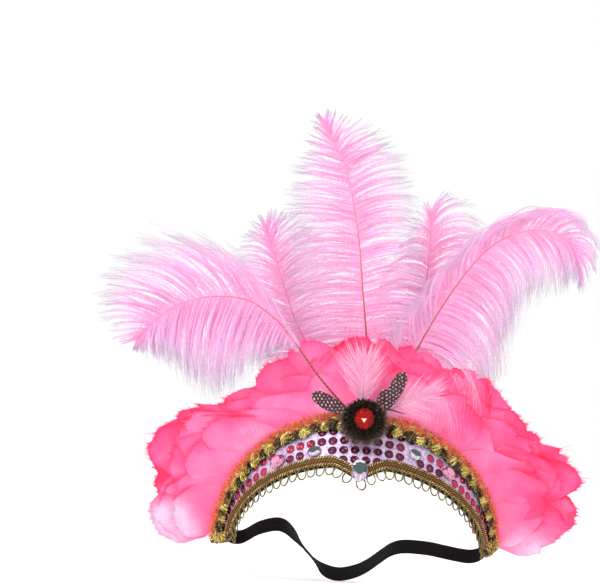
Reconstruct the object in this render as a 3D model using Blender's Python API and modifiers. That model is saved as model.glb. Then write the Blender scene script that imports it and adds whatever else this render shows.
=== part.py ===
"""Carnival feather headdress, worn upright and seen from the front along +Y.

A stiff crescent of black felt goes round the forehead. It carries sequin fabric, a gold gimp
with picot loops along its lower edge, a tinsel braid along its upper edge, five clear stones
and a fur rosette with a red jewel. A ruff of broad feathers stands behind the upper edge all
the way round, ostrich plumes rise behind and before it, and an elastic strap closes the loop.
Lengths are metres, +X is the wearer's left, +Y the back, +Z up. The origin is the middle of
the head opening, half way between the two ends of the band's lower edge.
"""
import math

import bmesh
import bpy
import numpy as np

MM = 0.001
GAP = 0.3 * MM

# The band's lower edge is half an ellipse in a plane that drops towards the back
LOWER_HALF_WIDTH = 91.7 * MM
LOWER_SKEW = 2.4 * MM  # the wearer's left half is wider by this, the right one narrower
LOWER_REACH = 97.9 * MM
LOWER_TILT = math.radians(39.7)
# The upper edge is half of a wider ellipse, from its front point to its two ends
UPPER_HALF_WIDTH = 102.4 * MM
UPPER_FRONT_Y, UPPER_FRONT_Z = -52 * MM, 98 * MM
UPPER_END_Y, UPPER_END_Z = 19.5 * MM, 1.1 * MM
UPPER_END_SKEW = 5.1 * MM  # the left end stands higher by this, the right one lower
BAND_LIMIT = math.radians(87)
BAND_STATIONS = 37

# The point that the lower edge makes over the forehead, under the middle stone
POINT_DROP = 13 * MM
POINT_HALF_WIDTH = 18 * MM

FELT_THICKNESS = 1.6 * MM
FABRIC_THICKNESS = 1.0 * MM
FABRIC_HEIGHT = FELT_THICKNESS + GAP
TRIM_HEIGHT = FABRIC_HEIGHT + FABRIC_THICKNESS + GAP

GIMP_WIDTH = 8.5 * MM
GIMP_THICKNESS = 2.2 * MM
LOOP_HALF_WIDTH, LOOP_HALF_LENGTH = 2.75 * MM, 3.7 * MM
LOOP_WIRE = 0.5 * MM
LOOP_COUNT = 39
LOOP_DROOP = 0.4  # share by which the loops turn from the band's slope to straight down

BRAID_WIDTH = 13 * MM
BRAID_THICKNESS = 4.4 * MM
BRAID_TUFTS = 23

STRAP_WIDTH = 12.7 * MM
STRAP_THICKNESS = 1.2 * MM
STRAP_HEIGHT = 8 * MM
STRAP_STATIONS = 47

PETAL_THICKNESS = 1.0 * MM
QUILL_RADIUS = 1.5 * MM

COLOURS = {  # red, green, blue, roughness, metallic
    "black_felt": (0.010, 0.010, 0.011, 0.90, 0.0),
    "lilac_fabric": (0.60, 0.45, 0.71, 0.45, 0.2),
    "gold_gimp": (0.35, 0.18, 0.03, 0.40, 0.8),
    "tinsel_braid": (0.60, 0.30, 0.06, 0.45, 0.6),
    "clear_stone": (0.20, 0.26, 0.26, 0.05, 0.6),
    "red_jewel": (0.55, 0.004, 0.006, 0.08, 0.0),
    "brown_fur": (0.045, 0.026, 0.018, 0.90, 0.0),
    "guinea_feather": (0.09, 0.03, 0.04, 0.70, 0.0),
    "pale_hackle": (0.95, 0.45, 0.62, 0.75, 0.0),
    "ostrich_plume": (0.94, 0.44, 0.68, 0.75, 0.0),
    "ruff_feather": (0.98, 0.11, 0.33, 0.70, 0.0),
    "black_elastic": (0.008, 0.008, 0.009, 0.80, 0.0),
}


def clear_scene():
    """Take away whatever the opened file holds."""
    for item in list(bpy.data.objects):
        bpy.data.objects.remove(item, do_unlink=True)


def new_collection(name):
    collection = bpy.data.collections.new(name)
    bpy.context.scene.collection.children.link(collection)
    return collection


def material(name):
    """The part's own Principled material, from the row of that name."""
    found = bpy.data.materials.get(name)
    if found:
        return found
    red, green, blue, roughness, metallic = COLOURS[name]
    made = bpy.data.materials.new(name)
    made.use_nodes = True
    shader = made.node_tree.nodes["Principled BSDF"]
    shader.inputs["Base Color"].default_value = (red, green, blue, 1)
    shader.inputs["Roughness"].default_value = roughness
    shader.inputs["Metallic"].default_value = metallic
    made.diffuse_color = (red, green, blue, 1)
    return made


def mesh_object(name, points, faces, material_name):
    """One closed or open mesh in the headdress's collection, normals turned outwards."""
    mesh = bpy.data.meshes.new(name)
    mesh.from_pydata([tuple(point) for point in points], [], faces)
    work = bmesh.new()
    work.from_mesh(mesh)
    bmesh.ops.recalc_face_normals(work, faces=work.faces)
    work.to_mesh(mesh)
    work.free()
    mesh.materials.append(material(material_name))
    made = bpy.data.objects.new(name, mesh)
    PIECES.objects.link(made)
    return made


def loft(name, rings, material_name):
    """A closed solid through rings of equal count, with a flat cap on the first and last."""
    count = len(rings[0])
    faces = [tuple(range(count))[::-1]]
    for ring in range(len(rings) - 1):
        for side in range(count):
            after = (side + 1) % count
            low, high = ring * count, (ring + 1) * count
            faces.append((low + side, low + after, high + after, high + side))
    last = (len(rings) - 1) * count
    faces.append(tuple(range(last, last + count)))
    return mesh_object(name, np.concatenate(rings), faces, material_name)


def sheet(name, grid, thickness, material_name):
    """An open surface given as rows of points, thickened evenly to both sides."""
    rows, columns = len(grid), len(grid[0])
    faces = []
    for row in range(rows - 1):
        for column in range(columns - 1):
            corner = row * columns + column
            faces.append((corner, corner + 1, corner + columns + 1, corner + columns))
    made = mesh_object(name, np.reshape(grid, (-1, 3)), faces, material_name)
    solidify = made.modifiers.new("thickness", "SOLIDIFY")
    solidify.thickness = thickness
    solidify.offset = 0
    return made


def unit(vector):
    return np.asarray(vector) / np.linalg.norm(vector)


def smooth_path(points, count):
    """Even steps along a smooth curve through the points, by Catmull-Rom spans."""
    points = np.asarray(points, dtype=float)
    padded = np.vstack([2 * points[0] - points[1], points, 2 * points[-1] - points[-2]])
    dense = []
    for span in range(1, len(padded) - 2):
        before, start, end, after = padded[span - 1:span + 3]
        for t in np.linspace(0, 1, 12, endpoint=False):
            dense.append(0.5 * (2 * start + (end - before) * t
                                + (2 * before - 5 * start + 4 * end - after) * t ** 2
                                + (3 * start - before - 3 * end + after) * t ** 3))
    dense = np.array(dense + [points[-1]])
    steps = np.linalg.norm(np.diff(dense[:, :3], axis=0), axis=1)
    along = np.concatenate([[0], np.cumsum(steps)])
    wanted = np.linspace(0, along[-1], count)
    return np.column_stack([np.interp(wanted, along, column) for column in dense.T])


# The band: where its faces and edges lie

def lower_edge(phi):
    """Point of the lower edge at the angle phi, 0 in front and a right angle at the ends."""
    aside, back = math.sin(phi), -LOWER_REACH * math.cos(phi)
    return np.array([(LOWER_HALF_WIDTH + LOWER_SKEW * aside) * aside, back * math.cos(LOWER_TILT),
                     -back * math.sin(LOWER_TILT)])


def upper_edge(phi):
    forward = math.cos(phi)
    end_z = UPPER_END_Z + UPPER_END_SKEW * math.sin(phi)
    return np.array([UPPER_HALF_WIDTH * math.sin(phi),
                     UPPER_END_Y + (UPPER_FRONT_Y - UPPER_END_Y) * forward,
                     end_z + (UPPER_FRONT_Z - end_z) * forward])


def band_frame(phi):
    """Lower point, band width, and the unit vectors across the band and out of its face."""
    low, high = lower_edge(phi), upper_edge(phi)
    step = 0.001
    along = lower_edge(phi + step) + upper_edge(phi + step) - lower_edge(phi - step) - upper_edge(phi - step)
    across = unit(high - low)
    return low, np.linalg.norm(high - low), across, unit(np.cross(along, across))


def band_point(phi, across_band, height):
    """Point at a distance from the lower edge and a height over the felt's inner face."""
    low, _, across, out = band_frame(phi)
    return low + across * across_band + out * height


def band_width(phi):
    return band_frame(phi)[1]


def point_drop(phi):
    """How far the lower edge dips below the ellipse, a rounded V in the middle."""
    distance = abs(lower_edge(phi)[0]) / POINT_HALF_WIDTH
    return POINT_DROP * max(0.0, 1 - distance) ** 0.9


def band_angles(count):
    """Angles from one end to the other, closer together round the middle point."""
    even = np.linspace(-1, 1, count)
    return BAND_LIMIT * (0.72 * even + 0.28 * even ** 3)


def band_layer(name, lower_margin, upper_margin, height, thickness, material_name):
    """A flat layer of the band between two margins, from its lower to its upper edge."""
    grid = []
    for phi in band_angles(BAND_STATIONS):
        low = lower_margin - point_drop(phi)
        high = band_width(phi) - upper_margin
        middle = height + thickness / 2
        grid.append([band_point(phi, low, middle), band_point(phi, high, middle)])
    return sheet(name, grid, thickness, material_name)


def gimp_section(phi):
    """Flat back and three rounded cords in front, across the gimp's width."""
    ridges = [(0.0, 0.0), (0.0, 0.55), (0.17, 1.0), (0.34, 0.6), (0.5, 1.0), (0.67, 0.6),
              (0.84, 1.0), (1.0, 0.55), (1.0, 0.0)]
    start = -point_drop(phi)
    return [band_point(phi, start + across * GIMP_WIDTH, TRIM_HEIGHT + rise * GIMP_THICKNESS)
            for across, rise in ridges]


def picot_loop(phi):
    """Rings of one wire loop that hangs from the gimp with both ends inside it."""
    step = 0.002
    height = TRIM_HEIGHT + GIMP_THICKNESS / 2
    edge = band_point(phi, -point_drop(phi), height)
    ahead = band_point(phi + step, -point_drop(phi + step), height)
    out = band_frame(phi)[3]
    along = unit(ahead - edge)
    down = unit(np.cross(along, out))
    if np.dot(down, band_frame(phi)[2]) > 0:
        down = -down
    down = unit(down + np.array([0, 0, -LOOP_DROOP]))
    out = unit(np.cross(down, along))
    centre = edge + down * (LOOP_HALF_LENGTH - 1.1 * MM)
    rings = []
    for turn in np.radians(np.linspace(-144, 144, 6)):
        spoke = unit(down * math.cos(turn) * LOOP_HALF_WIDTH + along * math.sin(turn) * LOOP_HALF_LENGTH)
        middle = (centre + down * LOOP_HALF_LENGTH * math.cos(turn)
                  + along * LOOP_HALF_WIDTH * math.sin(turn))
        ring = []
        for side in np.arange(3) * math.tau / 3:
            ring.append(middle + spoke * LOOP_WIRE * math.cos(side) + out * LOOP_WIRE * math.sin(side))
        rings.append(ring)
    return rings


def join_by_union(base, tool):
    """Replace the base's mesh by its exact union with the tool, and remove the tool."""
    union = base.modifiers.new("union", "BOOLEAN")
    union.operation = "UNION"
    union.solver = "EXACT"
    union.object = tool
    bpy.context.view_layer.update()
    evaluated = base.evaluated_get(bpy.context.evaluated_depsgraph_get())
    joined = bpy.data.meshes.new_from_object(evaluated)
    base.modifiers.clear()
    base.data = joined
    bpy.data.objects.remove(tool, do_unlink=True)


def build_gimp():
    rings = [gimp_section(phi) for phi in band_angles(39)]
    gimp = loft("lower_gimp", rings, "gold_gimp")
    points, faces = [], []
    for phi in np.radians(np.linspace(-84, 84, LOOP_COUNT)):
        start = len(points)
        loop = picot_loop(phi)
        sides = len(loop[0])
        points += [point for ring in loop for point in ring]
        faces.append(tuple(start + side for side in range(sides))[::-1])
        for ring in range(len(loop) - 1):
            for side in range(sides):
                low = start + ring * sides
                after = (side + 1) % sides
                faces.append((low + side, low + after, low + sides + after, low + sides + side))
        faces.append(tuple(start + (len(loop) - 1) * sides + side for side in range(sides)))
    loops = mesh_object("picot_loops", points, faces, "gold_gimp")
    join_by_union(gimp, loops)


def build_braid():
    """Tinsel braid with a tuft every 15 mm that reaches down over the fabric."""
    outline = [(0.0, 0.0), (-0.05, 0.45), (0.2, 0.95), (0.5, 1.0), (0.8, 0.9), (1.08, 0.4), (1.0, 0.0)]
    rings = []
    for phi in band_angles(47):
        tuft = 0.5 + 0.5 * math.cos(phi / math.pi * BRAID_TUFTS * math.tau)
        width = BRAID_WIDTH * (0.86 + 0.22 * tuft)
        thickness = BRAID_THICKNESS * (0.82 + 0.18 * tuft)
        top = band_width(phi) + 0.5 * MM
        rings.append([band_point(phi, top - width * (1 - across), TRIM_HEIGHT + rise * thickness)
                      for across, rise in outline])
    loft("upper_braid", rings, "tinsel_braid")


def build_end_bindings():
    """The folded gold trim that closes each end of the band, a flattened roll."""
    half_length, half_depth = 5.2 * MM, 4.6 * MM
    for side, name in ((-1, "end_binding_right"), (1, "end_binding_left")):
        phi = side * BAND_LIMIT
        low, width, across, out = band_frame(phi)
        onward = unit(lower_edge(phi) - lower_edge(phi - side * 0.02))
        centre = low + onward * (half_length + 2 * GAP) + out * (half_depth + 0.4 * MM)
        rings = []
        for share, swell in ((0.0, 0.7), (0.12, 1.0), (0.5, 0.9), (0.88, 1.0), (1.0, 0.7)):
            middle = centre + across * width * share
            ring = [middle + onward * half_length * swell * math.cos(turn)
                    + out * half_depth * swell * math.sin(turn)
                    for turn in np.arange(10) * math.tau / 10]
            rings.append(ring)
        loft(name, rings, "tinsel_braid")


STONES = [  # name, angle phi, place across the band, length along it, width across it, height
    ("stone_middle", 0.0, -7.0, 12.5, 19.0, 5.0),
    ("stone_inner_right", -20.2, 13.5, 11.0, 8.6, 3.6),
    ("stone_inner_left", 23.4, 18.4, 11.0, 8.6, 3.6),
    ("stone_outer_right", -37.6, 14.4, 14.0, 9.6, 4.0),
    ("stone_outer_left", 40.4, 17.0, 14.0, 9.6, 4.0),
]
STONE_RINGS = [(0.80, 0.0), (1.0, 0.25), (0.93, 0.45), (0.60, 1.0)]  # share of radius, of height


def cut_stone(name, centre, first, second, up, sizes, sides, material_name):
    """A faceted stone: flat back, girdle, crown and table, on the two radius vectors."""
    length, width, height = sizes
    rings = []
    for radius, rise in STONE_RINGS:
        rings.append([centre + first * length / 2 * radius * math.cos(turn)
                      + second * width / 2 * radius * math.sin(turn) + up * height * rise
                      for turn in (np.arange(sides) + 0.5) * math.tau / sides])
    loft(name, rings, material_name)


def build_stones():
    for name, angle, across_mm, length, width, height in STONES:
        phi = math.radians(angle)
        _, _, across, out = band_frame(phi)
        along = np.cross(across, out)
        centre = band_point(phi, across_mm * MM, TRIM_HEIGHT + GAP)
        if name == "stone_middle":
            centre = band_point(phi, across_mm * MM, TRIM_HEIGHT + GIMP_THICKNESS + GAP)
        cut_stone(name, centre, along, across, out, np.array([length, width, height]) * MM, 12, "clear_stone")


# The rosette stands upright before the braid, with the jewel in its middle

ROSETTE_CENTRE = np.array([0.7, -70.6, 97.8]) * MM
ROSETTE_RADIUS = 16.5 * MM
ROSETTE_DEPTH = 8.0 * MM
ROSETTE_LOCKS = 14
ROSETTE_TILT = math.radians(6)
JEWEL_RADIUS = 7.6 * MM
JEWEL_HEIGHT = 5.2 * MM


def rosette_axes():
    """Right, up and outward vectors of the rosette, which leans back a little."""
    out = np.array([0, -math.cos(ROSETTE_TILT), math.sin(ROSETTE_TILT)])
    up = np.array([0, math.sin(ROSETTE_TILT), math.cos(ROSETTE_TILT)])
    return np.array([1.0, 0, 0]), up, out


def build_rosette():
    """A disc of short fur whose rim and face stand in locks, dished for the jewel."""
    right, up, out = rosette_axes()
    profile = [(0.55, 0.0, 0.0), (0.86, 0.05, 0.05), (0.94, 0.45, 0.14), (0.78, 0.85, 0.12),
               (0.55, 0.95, 0.05), (0.30, 0.80, 0.0)]  # radius, depth, lock height
    rings = []
    for radius, depth, lock in profile:
        ring = []
        for place in range(2 * ROSETTE_LOCKS):
            reach = ROSETTE_RADIUS * (radius + (lock if place % 2 else -lock))
            turn = place * math.pi / ROSETTE_LOCKS
            ring.append(ROSETTE_CENTRE + right * reach * math.cos(turn) + up * reach * math.sin(turn)
                        + out * ROSETTE_DEPTH * depth)
        rings.append(ring)
    loft("fur_rosette", rings, "brown_fur")
    centre = ROSETTE_CENTRE + out * (ROSETTE_DEPTH * 0.95 + GAP)
    size = np.array([2 * JEWEL_RADIUS, 2 * JEWEL_RADIUS * 1.1, JEWEL_HEIGHT])
    cut_stone("red_jewel", centre, right, up, out, size, 16, "red_jewel")


# Feathers with a quill and barbs: plumes and hackles

def quill_ring(centre, side, front, radius):
    """Six points round the quill, with one flat side to the left and one to the right."""
    corners = [(0, 1), (1, 0.5), (1, -0.5), (0, -1), (-1, -0.5), (-1, 0.5)]
    return [centre + side * radius * 0.87 * left + front * radius * ahead for left, ahead in corners]


def barbed_feather(name, rows, locks, shape, material_name, radius=QUILL_RADIUS):
    """A plume: a six-sided quill whose side faces grow on into tapering locks of barbs.

    rows are x, y, z, left and right barb length in millimetres, from root to tip. A lock
    leaves the quill between its sweep angle and straight down, by its share of hang, and
    bends by the share of bend towards the fall direction.
    """
    fall = unit([shape["lean"], 0, -1.0])
    path = smooth_path(rows, locks + 5)
    path[:, :3] *= MM
    points, faces = [], []
    rings, sides, fronts = [], [], []
    for index, row in enumerate(path):
        nearby = path[min(index + 1, len(path) - 1), :3] - path[max(index - 1, 0), :3]
        tangent = unit(nearby)
        side = unit(np.cross(tangent, [0, 1, 0]))
        front = np.cross(tangent, side)
        taper = 1 - 0.65 * index / (len(path) - 1)
        rings.append(len(points))
        points += quill_ring(row[:3], side, front, radius * taper)
        sides.append(side)
        fronts.append(front)
    faces.append(tuple(range(6))[::-1])
    for index in range(len(path) - 1):
        low, high = rings[index], rings[index + 1]
        tangent = unit(path[index + 1, :3] - path[index, :3])
        middle = (path[index] + path[index + 1]) / 2
        for face in range(6):
            after = (face + 1) % 6
            corners = [low + face, low + after, high + after, high + face]
            reach = {1: middle[3], 4: middle[4]}.get(face, 0) * MM
            if reach < 4 * MM:
                faces.append(tuple(corners))
                continue
            sign = 1 if face == 1 else -1
            sweep, hang = shape["left"] if face == 1 else shape["right"]
            angle = math.radians(sweep)
            swept = tangent * math.cos(angle) + sides[index] * sign * math.sin(angle)
            leaving = unit(swept * (1 - hang) + fall * hang)
            half_chord = np.linalg.norm(np.cross(path[index + 1, :3] - path[index, :3], leaving)) / 2
            base = np.mean([points[corner] for corner in corners], axis=0)
            previous = corners
            for share, width, thick in ((0.5, 0.74, 0.7), (1.0, 0.24, 0.45)):
                turned = shape["bend"] * share
                centre = base + reach * share * (leaving * (1 - turned) + fall * turned)
                heading = unit(leaving * (1 - 2 * turned) + fall * 2 * turned)
                chord = unit(np.cross(heading, fronts[index])) * sign * half_chord * width
                depth = fronts[index] * radius * 0.5 * thick
                start = len(points)
                points += [centre - chord + depth * sign, centre - chord - depth * sign,
                           centre + chord - depth * sign, centre + chord + depth * sign]
                ring = [start, start + 1, start + 2, start + 3]
                for corner in range(4):
                    after_corner = (corner + 1) % 4
                    faces.append((previous[corner], previous[after_corner],
                                  ring[after_corner], ring[corner]))
                previous = ring
            faces.append(tuple(previous))
    faces.append(tuple(range(rings[-1], rings[-1] + 6)))
    return mesh_object(name, points, faces, material_name)


PLUMES = {  # rows of x, y, z, left barbs, right barbs
    "plume_middle": [
        (0.0, -37, 88, 0, 0), (-0.5, -26, 122, 0, 0), (-1.1, -16, 155, 56, 54), (-3.0, -11, 172, 66, 62),
        (-7.3, -5, 201, 66, 60), (-11.6, 0, 231, 62, 52), (-18.2, 3, 260, 64, 62),
        (-26.0, 4, 286, 46, 70), (-34.5, 3, 302, 30, 54), (-42, 1, 314, 14, 20)],
    "plume_right": [
        (-6, -52.5, 103, 0, 0), (-13.4, -55, 106, 0, 0), (-33.6, -57, 126, 0, 0), (-47.6, -57, 143, 34, 26),
        (-58.3, -56, 156, 50, 42), (-70.4, -54, 168, 66, 52), (-91.5, -50, 180, 76, 60),
        (-116.4, -46, 181, 72, 64), (-138.6, -43, 175, 52, 62), (-158, -41, 162, 30, 46),
        (-170, -40, 146, 10, 14)],
    "plume_left": [
        (7, -43, 85, 0, 0), (14, -34, 102, 0, 0), (22, -28, 122, 0, 0), (36, -20, 150, 44, 48),
        (52.6, -13, 183, 52, 66), (72.9, -8, 216, 46, 78), (91.7, -6, 236, 38, 72),
        (112.2, -6, 246, 34, 60), (131, -8, 247, 28, 40), (146, -9, 240, 20, 18), (153, -10, 228, 10, 3)],
    "plume_back_right": [
        (-6, -31, 88, 0, 0), (-24, -14, 120, 0, 0), (-51, 2, 160, 52, 48), (-64.4, 11, 190, 44, 52),
        (-73.7, 15, 215, 30, 40), (-82, 16, 236, 12, 14)],
    "plume_back_left": [
        (10, -31, 90, 0, 0), (22, -14, 120, 0, 0), (35, 2, 160, 50, 52), (40.4, 12, 197, 46, 58),
        (42, 17, 227, 32, 54), (41.5, 18, 255, 12, 20)],
}
PLUME_SHAPES = {  # sweep angle and share of hang on each side, bend, lean of the fall
    "plume_middle": {"left": (78, 0.0), "right": (66, 0.0), "bend": 0.2, "lean": 0.0},
    "plume_right": {"left": (80, 0.75), "right": (62, 0.0), "bend": 0.2, "lean": -0.15},
    "plume_left": {"left": (58, 0.0), "right": (78, 0.6), "bend": 0.22, "lean": 0.3},
    "plume_back_right": {"left": (60, 0.0), "right": (62, 0.0), "bend": 0.2, "lean": 0.0},
    "plume_back_left": {"left": (60, 0.0), "right": (62, 0.0), "bend": 0.2, "lean": 0.3},
}
HACKLE_SHAPE = {"left": (42, 0.0), "right": (42, 0.0), "bend": 0.12, "lean": 0.0}
PLUME_LOCKS = {"plume_middle": 13, "plume_right": 13, "plume_left": 13,
               "plume_back_right": 9, "plume_back_left": 9}

HACKLES = {  # rows of x, y, z, left barbs, right barbs
    "hackle_puff_middle": [
        (-1.0, -57.0, 108, 0, 0), (-1.0, -58.0, 113, 12, 12), (-1.0, -59.0, 120, 22, 22),
        (-0.5, -60.0, 132, 22, 22), (0.0, -61.0, 145, 8, 8)],
    "hackle_puff_left": [
        (12, -57.0, 102, 0, 0), (19, -58.0, 106, 12, 9), (27, -59.0, 110, 20, 16),
        (38, -60.0, 115, 22, 16), (52, -61.0, 121, 8, 8)],
}


def build_plumes():
    for name, rows in PLUMES.items():
        barbed_feather(name, rows, PLUME_LOCKS[name], PLUME_SHAPES[name], "ostrich_plume")
    for name, rows in HACKLES.items():
        barbed_feather(name, rows, 3, HACKLE_SHAPE, "pale_hackle", 1.0 * MM)


# Small dark guinea feathers beside the rosette

GUINEAS = [  # name, root x, y, z, tip x, y, z, width
    ("guinea_feather_right", (-9, -62.5, 100), (-39, -63.5, 114.5), 11.5),
    ("guinea_feather_left_long", (15, -63.5, 104), (28.5, -64.5, 135), 11.0),
    ("guinea_feather_left_short", (9, -62.5, 106), (16.5, -61.8, 121), 7.5),
]


def build_guineas():
    """Rounded oval feathers, bowed across so that their edges lie further back."""
    for name, root, tip, width in GUINEAS:
        root, tip = np.array(root) * MM, np.array(tip) * MM
        along = tip - root
        side = unit(np.cross(along, [0, -1, 0]))
        grid = []
        for share, spread in ((0.0, 0.18), (0.3, 0.75), (0.62, 1.0), (0.88, 0.8), (1.0, 0.35)):
            row = []
            for place in (-1, 0, 1):
                bow = np.array([0, 1.2 * MM * place ** 2 * spread, 0])
                row.append(root + along * share + side * place * spread * width / 2 * MM + bow)
            grid.append(row)
        sheet(name, grid, PETAL_THICKNESS, "guinea_feather")
    stub = bpy.data.curves.new("bare_quill", "CURVE")
    stub.dimensions = "3D"
    stub.bevel_depth = 0.7 * MM
    stub.bevel_resolution = 2
    stub.use_fill_caps = True
    spline = stub.splines.new("POLY")
    route = [(17.5, -66.4, 107), (24, -67.0, 105.6), (31, -67.2, 104)]
    spline.points.add(len(route) - 1)
    for point, place in zip(spline.points, route):
        point.co = (*(value * MM for value in place), 1)
    stub.materials.append(material("guinea_feather"))
    PIECES.objects.link(bpy.data.objects.new("bare_quill", stub))


# The ruff: broad cupped feathers laid on one collar surface, in three layers

RUFF = [  # angle phi of the root, reach in x, y and z
    (-90, -46, 4, 6), (-75, -62, 6, -3), (-60, -72, 8, -1), (-47, -81, 9, 7), (-36, -79, 10, 14),
    (-27, -70, 11, 20), (-18, -62, 12, 32), (-9, -45, 12, 53), (0, -12, 12, 65), (9, 7, 12, 66),
    (18, 23.5, 12, 65), (27, 40, 11, 54), (36, 51, 10, 42.5), (47, 66.5, 9, 25.5), (60, 77, 8, 17.5),
    (75, 73.5, 6, 11.5), (90, 48, 4, 0)]
RUFF_LAYERS = [  # name, feathers, outermost angle, share of the reach, depth, widest
    ("front", 7, 70, 0.66, 1.4, 50), ("middle", 8, 73, 0.85, 5.6, 54), ("back", 9, 80, 1.0, 9.8, 56)]
RUFF_ROOT_MARGIN = 8 * MM
RUFF_CLEARANCE = 2.6 * MM  # over the felt's and the braid's upper edge, before it flares
FEATHER_OUTLINE = [(0.0, 0.14), (0.17, 0.3), (0.45, 0.85), (0.75, 1.0), (1.0, 0.5)]


def collar_point(phi, outward, depth):
    """Point of the ruff's collar surface: outward is 0 at the roots and 1 at the rim."""
    angles, *reach = np.array(RUFF).T
    degrees = np.clip(math.degrees(phi), -90, 90)
    aim = np.array([np.interp(degrees, angles, column) for column in reach]) * MM
    _, width, across, out = band_frame(phi)
    flare = max(0.0, np.dot(unit(aim), out))
    rise = RUFF_ROOT_MARGIN + RUFF_CLEARANCE + (depth - FELT_THICKNESS) * flare
    root = band_point(phi, width - RUFF_ROOT_MARGIN, -depth)
    return root + across * rise * min(outward / 0.12, 1) + aim * max(0.0, outward - 0.12) / 0.88


def build_ruff():
    for layer, count, outermost, share, depth, widest in RUFF_LAYERS:
        for number, degrees in enumerate(np.linspace(-outermost, outermost, count)):
            phi = math.radians(degrees)
            reach_of_one = math.radians(outermost) / (count - 1)
            room = np.linalg.norm(collar_point(phi + reach_of_one, 0.75 * share, depth * MM)
                                  - collar_point(phi - reach_of_one, 0.75 * share, depth * MM))
            width = min(widest * MM, 0.87 * room - 1.0 * MM)
            grid = []
            for outward, spread in FEATHER_OUTLINE:
                row = []
                for place in np.linspace(-1, 1, 5):
                    here = collar_point(phi, outward * share, depth * MM)
                    beside = collar_point(phi + 0.02, outward * share, depth * MM)
                    turn = place * spread * width / 2 * 0.02 / np.linalg.norm(beside - here)
                    shorter = outward * share * (1 - 0.05 * place ** 2 * outward)
                    cup = (depth + 1.1 * (place * spread) ** 2) * MM
                    row.append(collar_point(phi + turn, shorter, cup))
                grid.append(row)
            sheet(f"ruff_feather_{layer}_{number + 1}", grid, PETAL_THICKNESS, "ruff_feather")


# The elastic strap, on edge in the plane of the band's lower edge

STRAP_ROUTE = [  # x and distance behind the band's ends, in millimetres
    (-86, -16), (-87, -6), (-87.4, 0), (-86.4, 4.6), (-83.4, 5.4), (-79.5, 1), (-71.2, -7.6),
    (-59.6, -13.4), (-52, -11.6), (-44.2, -1.5), (-36, 13.5), (-28.8, 27.2), (-21, 38), (-9.6, 42.6),
    (2.9, 37.7), (12.2, 29.2), (21.2, 17), (29, 7.4), (38.5, 2.9), (55.5, 3.2), (68, 6), (78.1, 8.4),
    (86.5, 10), (90.5, 7.8), (91.8, 3), (91.8, -6), (90.8, -16)]


def build_strap():
    slope = np.array([0, math.cos(LOWER_TILT), -math.sin(LOWER_TILT)])
    rise = np.array([0, math.sin(LOWER_TILT), math.cos(LOWER_TILT)])
    route = smooth_path(STRAP_ROUTE, STRAP_STATIONS) * MM
    rings = []
    for index, (across, back) in enumerate(route):
        ahead, behind = route[min(index + 1, STRAP_STATIONS - 1)], route[max(index - 1, 0)]
        flat = unit(ahead - behind)
        side = np.array([1.0, 0, 0]) * -flat[1] + slope * flat[0]
        centre = np.array([across, 0, 0]) + slope * back + rise * STRAP_HEIGHT
        rings.append([centre + side * STRAP_THICKNESS / 2 * a + rise * STRAP_WIDTH / 2 * b
                      for a, b in ((-1, -1), (1, -1), (1, 1), (-1, 1))])
    loft("elastic_strap", rings, "black_elastic")


clear_scene()
PIECES = new_collection("carnival_feather_headdress")
band_layer("band_backing", -1.0 * MM, -0.5 * MM, 0.0, FELT_THICKNESS, "black_felt")
band_layer("sequin_fabric", 0.8 * MM, 1.0 * MM, FABRIC_HEIGHT, FABRIC_THICKNESS, "lilac_fabric")
build_gimp()
build_braid()
build_end_bindings()
build_stones()
build_rosette()
build_plumes()
build_guineas()
build_ruff()
build_strap()
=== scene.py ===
import math

import bmesh
import bpy
import numpy as np
from mathutils import Matrix, Vector


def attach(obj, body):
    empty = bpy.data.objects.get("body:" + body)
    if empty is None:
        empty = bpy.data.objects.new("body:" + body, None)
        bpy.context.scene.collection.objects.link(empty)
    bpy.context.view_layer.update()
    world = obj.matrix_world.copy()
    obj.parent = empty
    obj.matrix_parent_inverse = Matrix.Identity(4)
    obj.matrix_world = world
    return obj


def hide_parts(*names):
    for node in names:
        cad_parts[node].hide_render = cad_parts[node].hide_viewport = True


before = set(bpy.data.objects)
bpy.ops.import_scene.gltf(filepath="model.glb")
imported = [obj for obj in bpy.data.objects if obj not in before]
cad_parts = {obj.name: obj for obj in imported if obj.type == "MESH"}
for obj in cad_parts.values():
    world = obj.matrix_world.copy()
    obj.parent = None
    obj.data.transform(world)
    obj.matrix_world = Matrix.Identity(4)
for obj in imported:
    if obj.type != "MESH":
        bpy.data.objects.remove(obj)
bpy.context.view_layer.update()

MM = 0.001


# Camera, floor and light. The headdress is seen from straight in front, through a long
# lens and turned a little clockwise, before plain white, in soft light from all round with
# one large softbox above on the left.
IMAGE_WIDTH, IMAGE_HEIGHT = 600, 583
PIXEL = 0.75 * MM
ORIGIN_ACROSS, ORIGIN_DOWN = 353, 548
IMAGE_TURN = math.radians(4)
CAMERA_DISTANCE = 5.0
SENSOR_WIDTH = 36.0
LAMP_PLACE, LAMP_AIM, LAMP_SIZE, LAMP_WATTS = (-0.9, -1.1, 1.5), (0, 0, 0.12), 0.7, 16
FLOOR_HEIGHT, FLOOR_REACH = -27 * MM, 3


class Reading:
    """A socket's value inside one finish, which can be calculated with."""

    def __init__(self, finish, socket):
        self.finish, self.socket = finish, socket

    def calculate(self, operation, *values):
        return self.finish.add("Math", {"operation": operation}, dict(enumerate(values)))

    def __gt__(self, other):
        return self.calculate("GREATER_THAN", self, other)

    def __abs__(self):
        return self.calculate("ABSOLUTE", self)

    def wave(self, length=math.tau):
        """A sine wave of that length, moved to run from 0 to 1."""
        return 0.5 + 0.5 * self.calculate("SINE", self * (math.tau / length))

    def between(self, low, high):
        """0 below low and 1 above high, with a soft step from one to the other."""
        return self.finish.add("MapRange", {"interpolation_type": "SMOOTHSTEP"},
                               {"Value": self, "From Min": low, "From Max": high})


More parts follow.
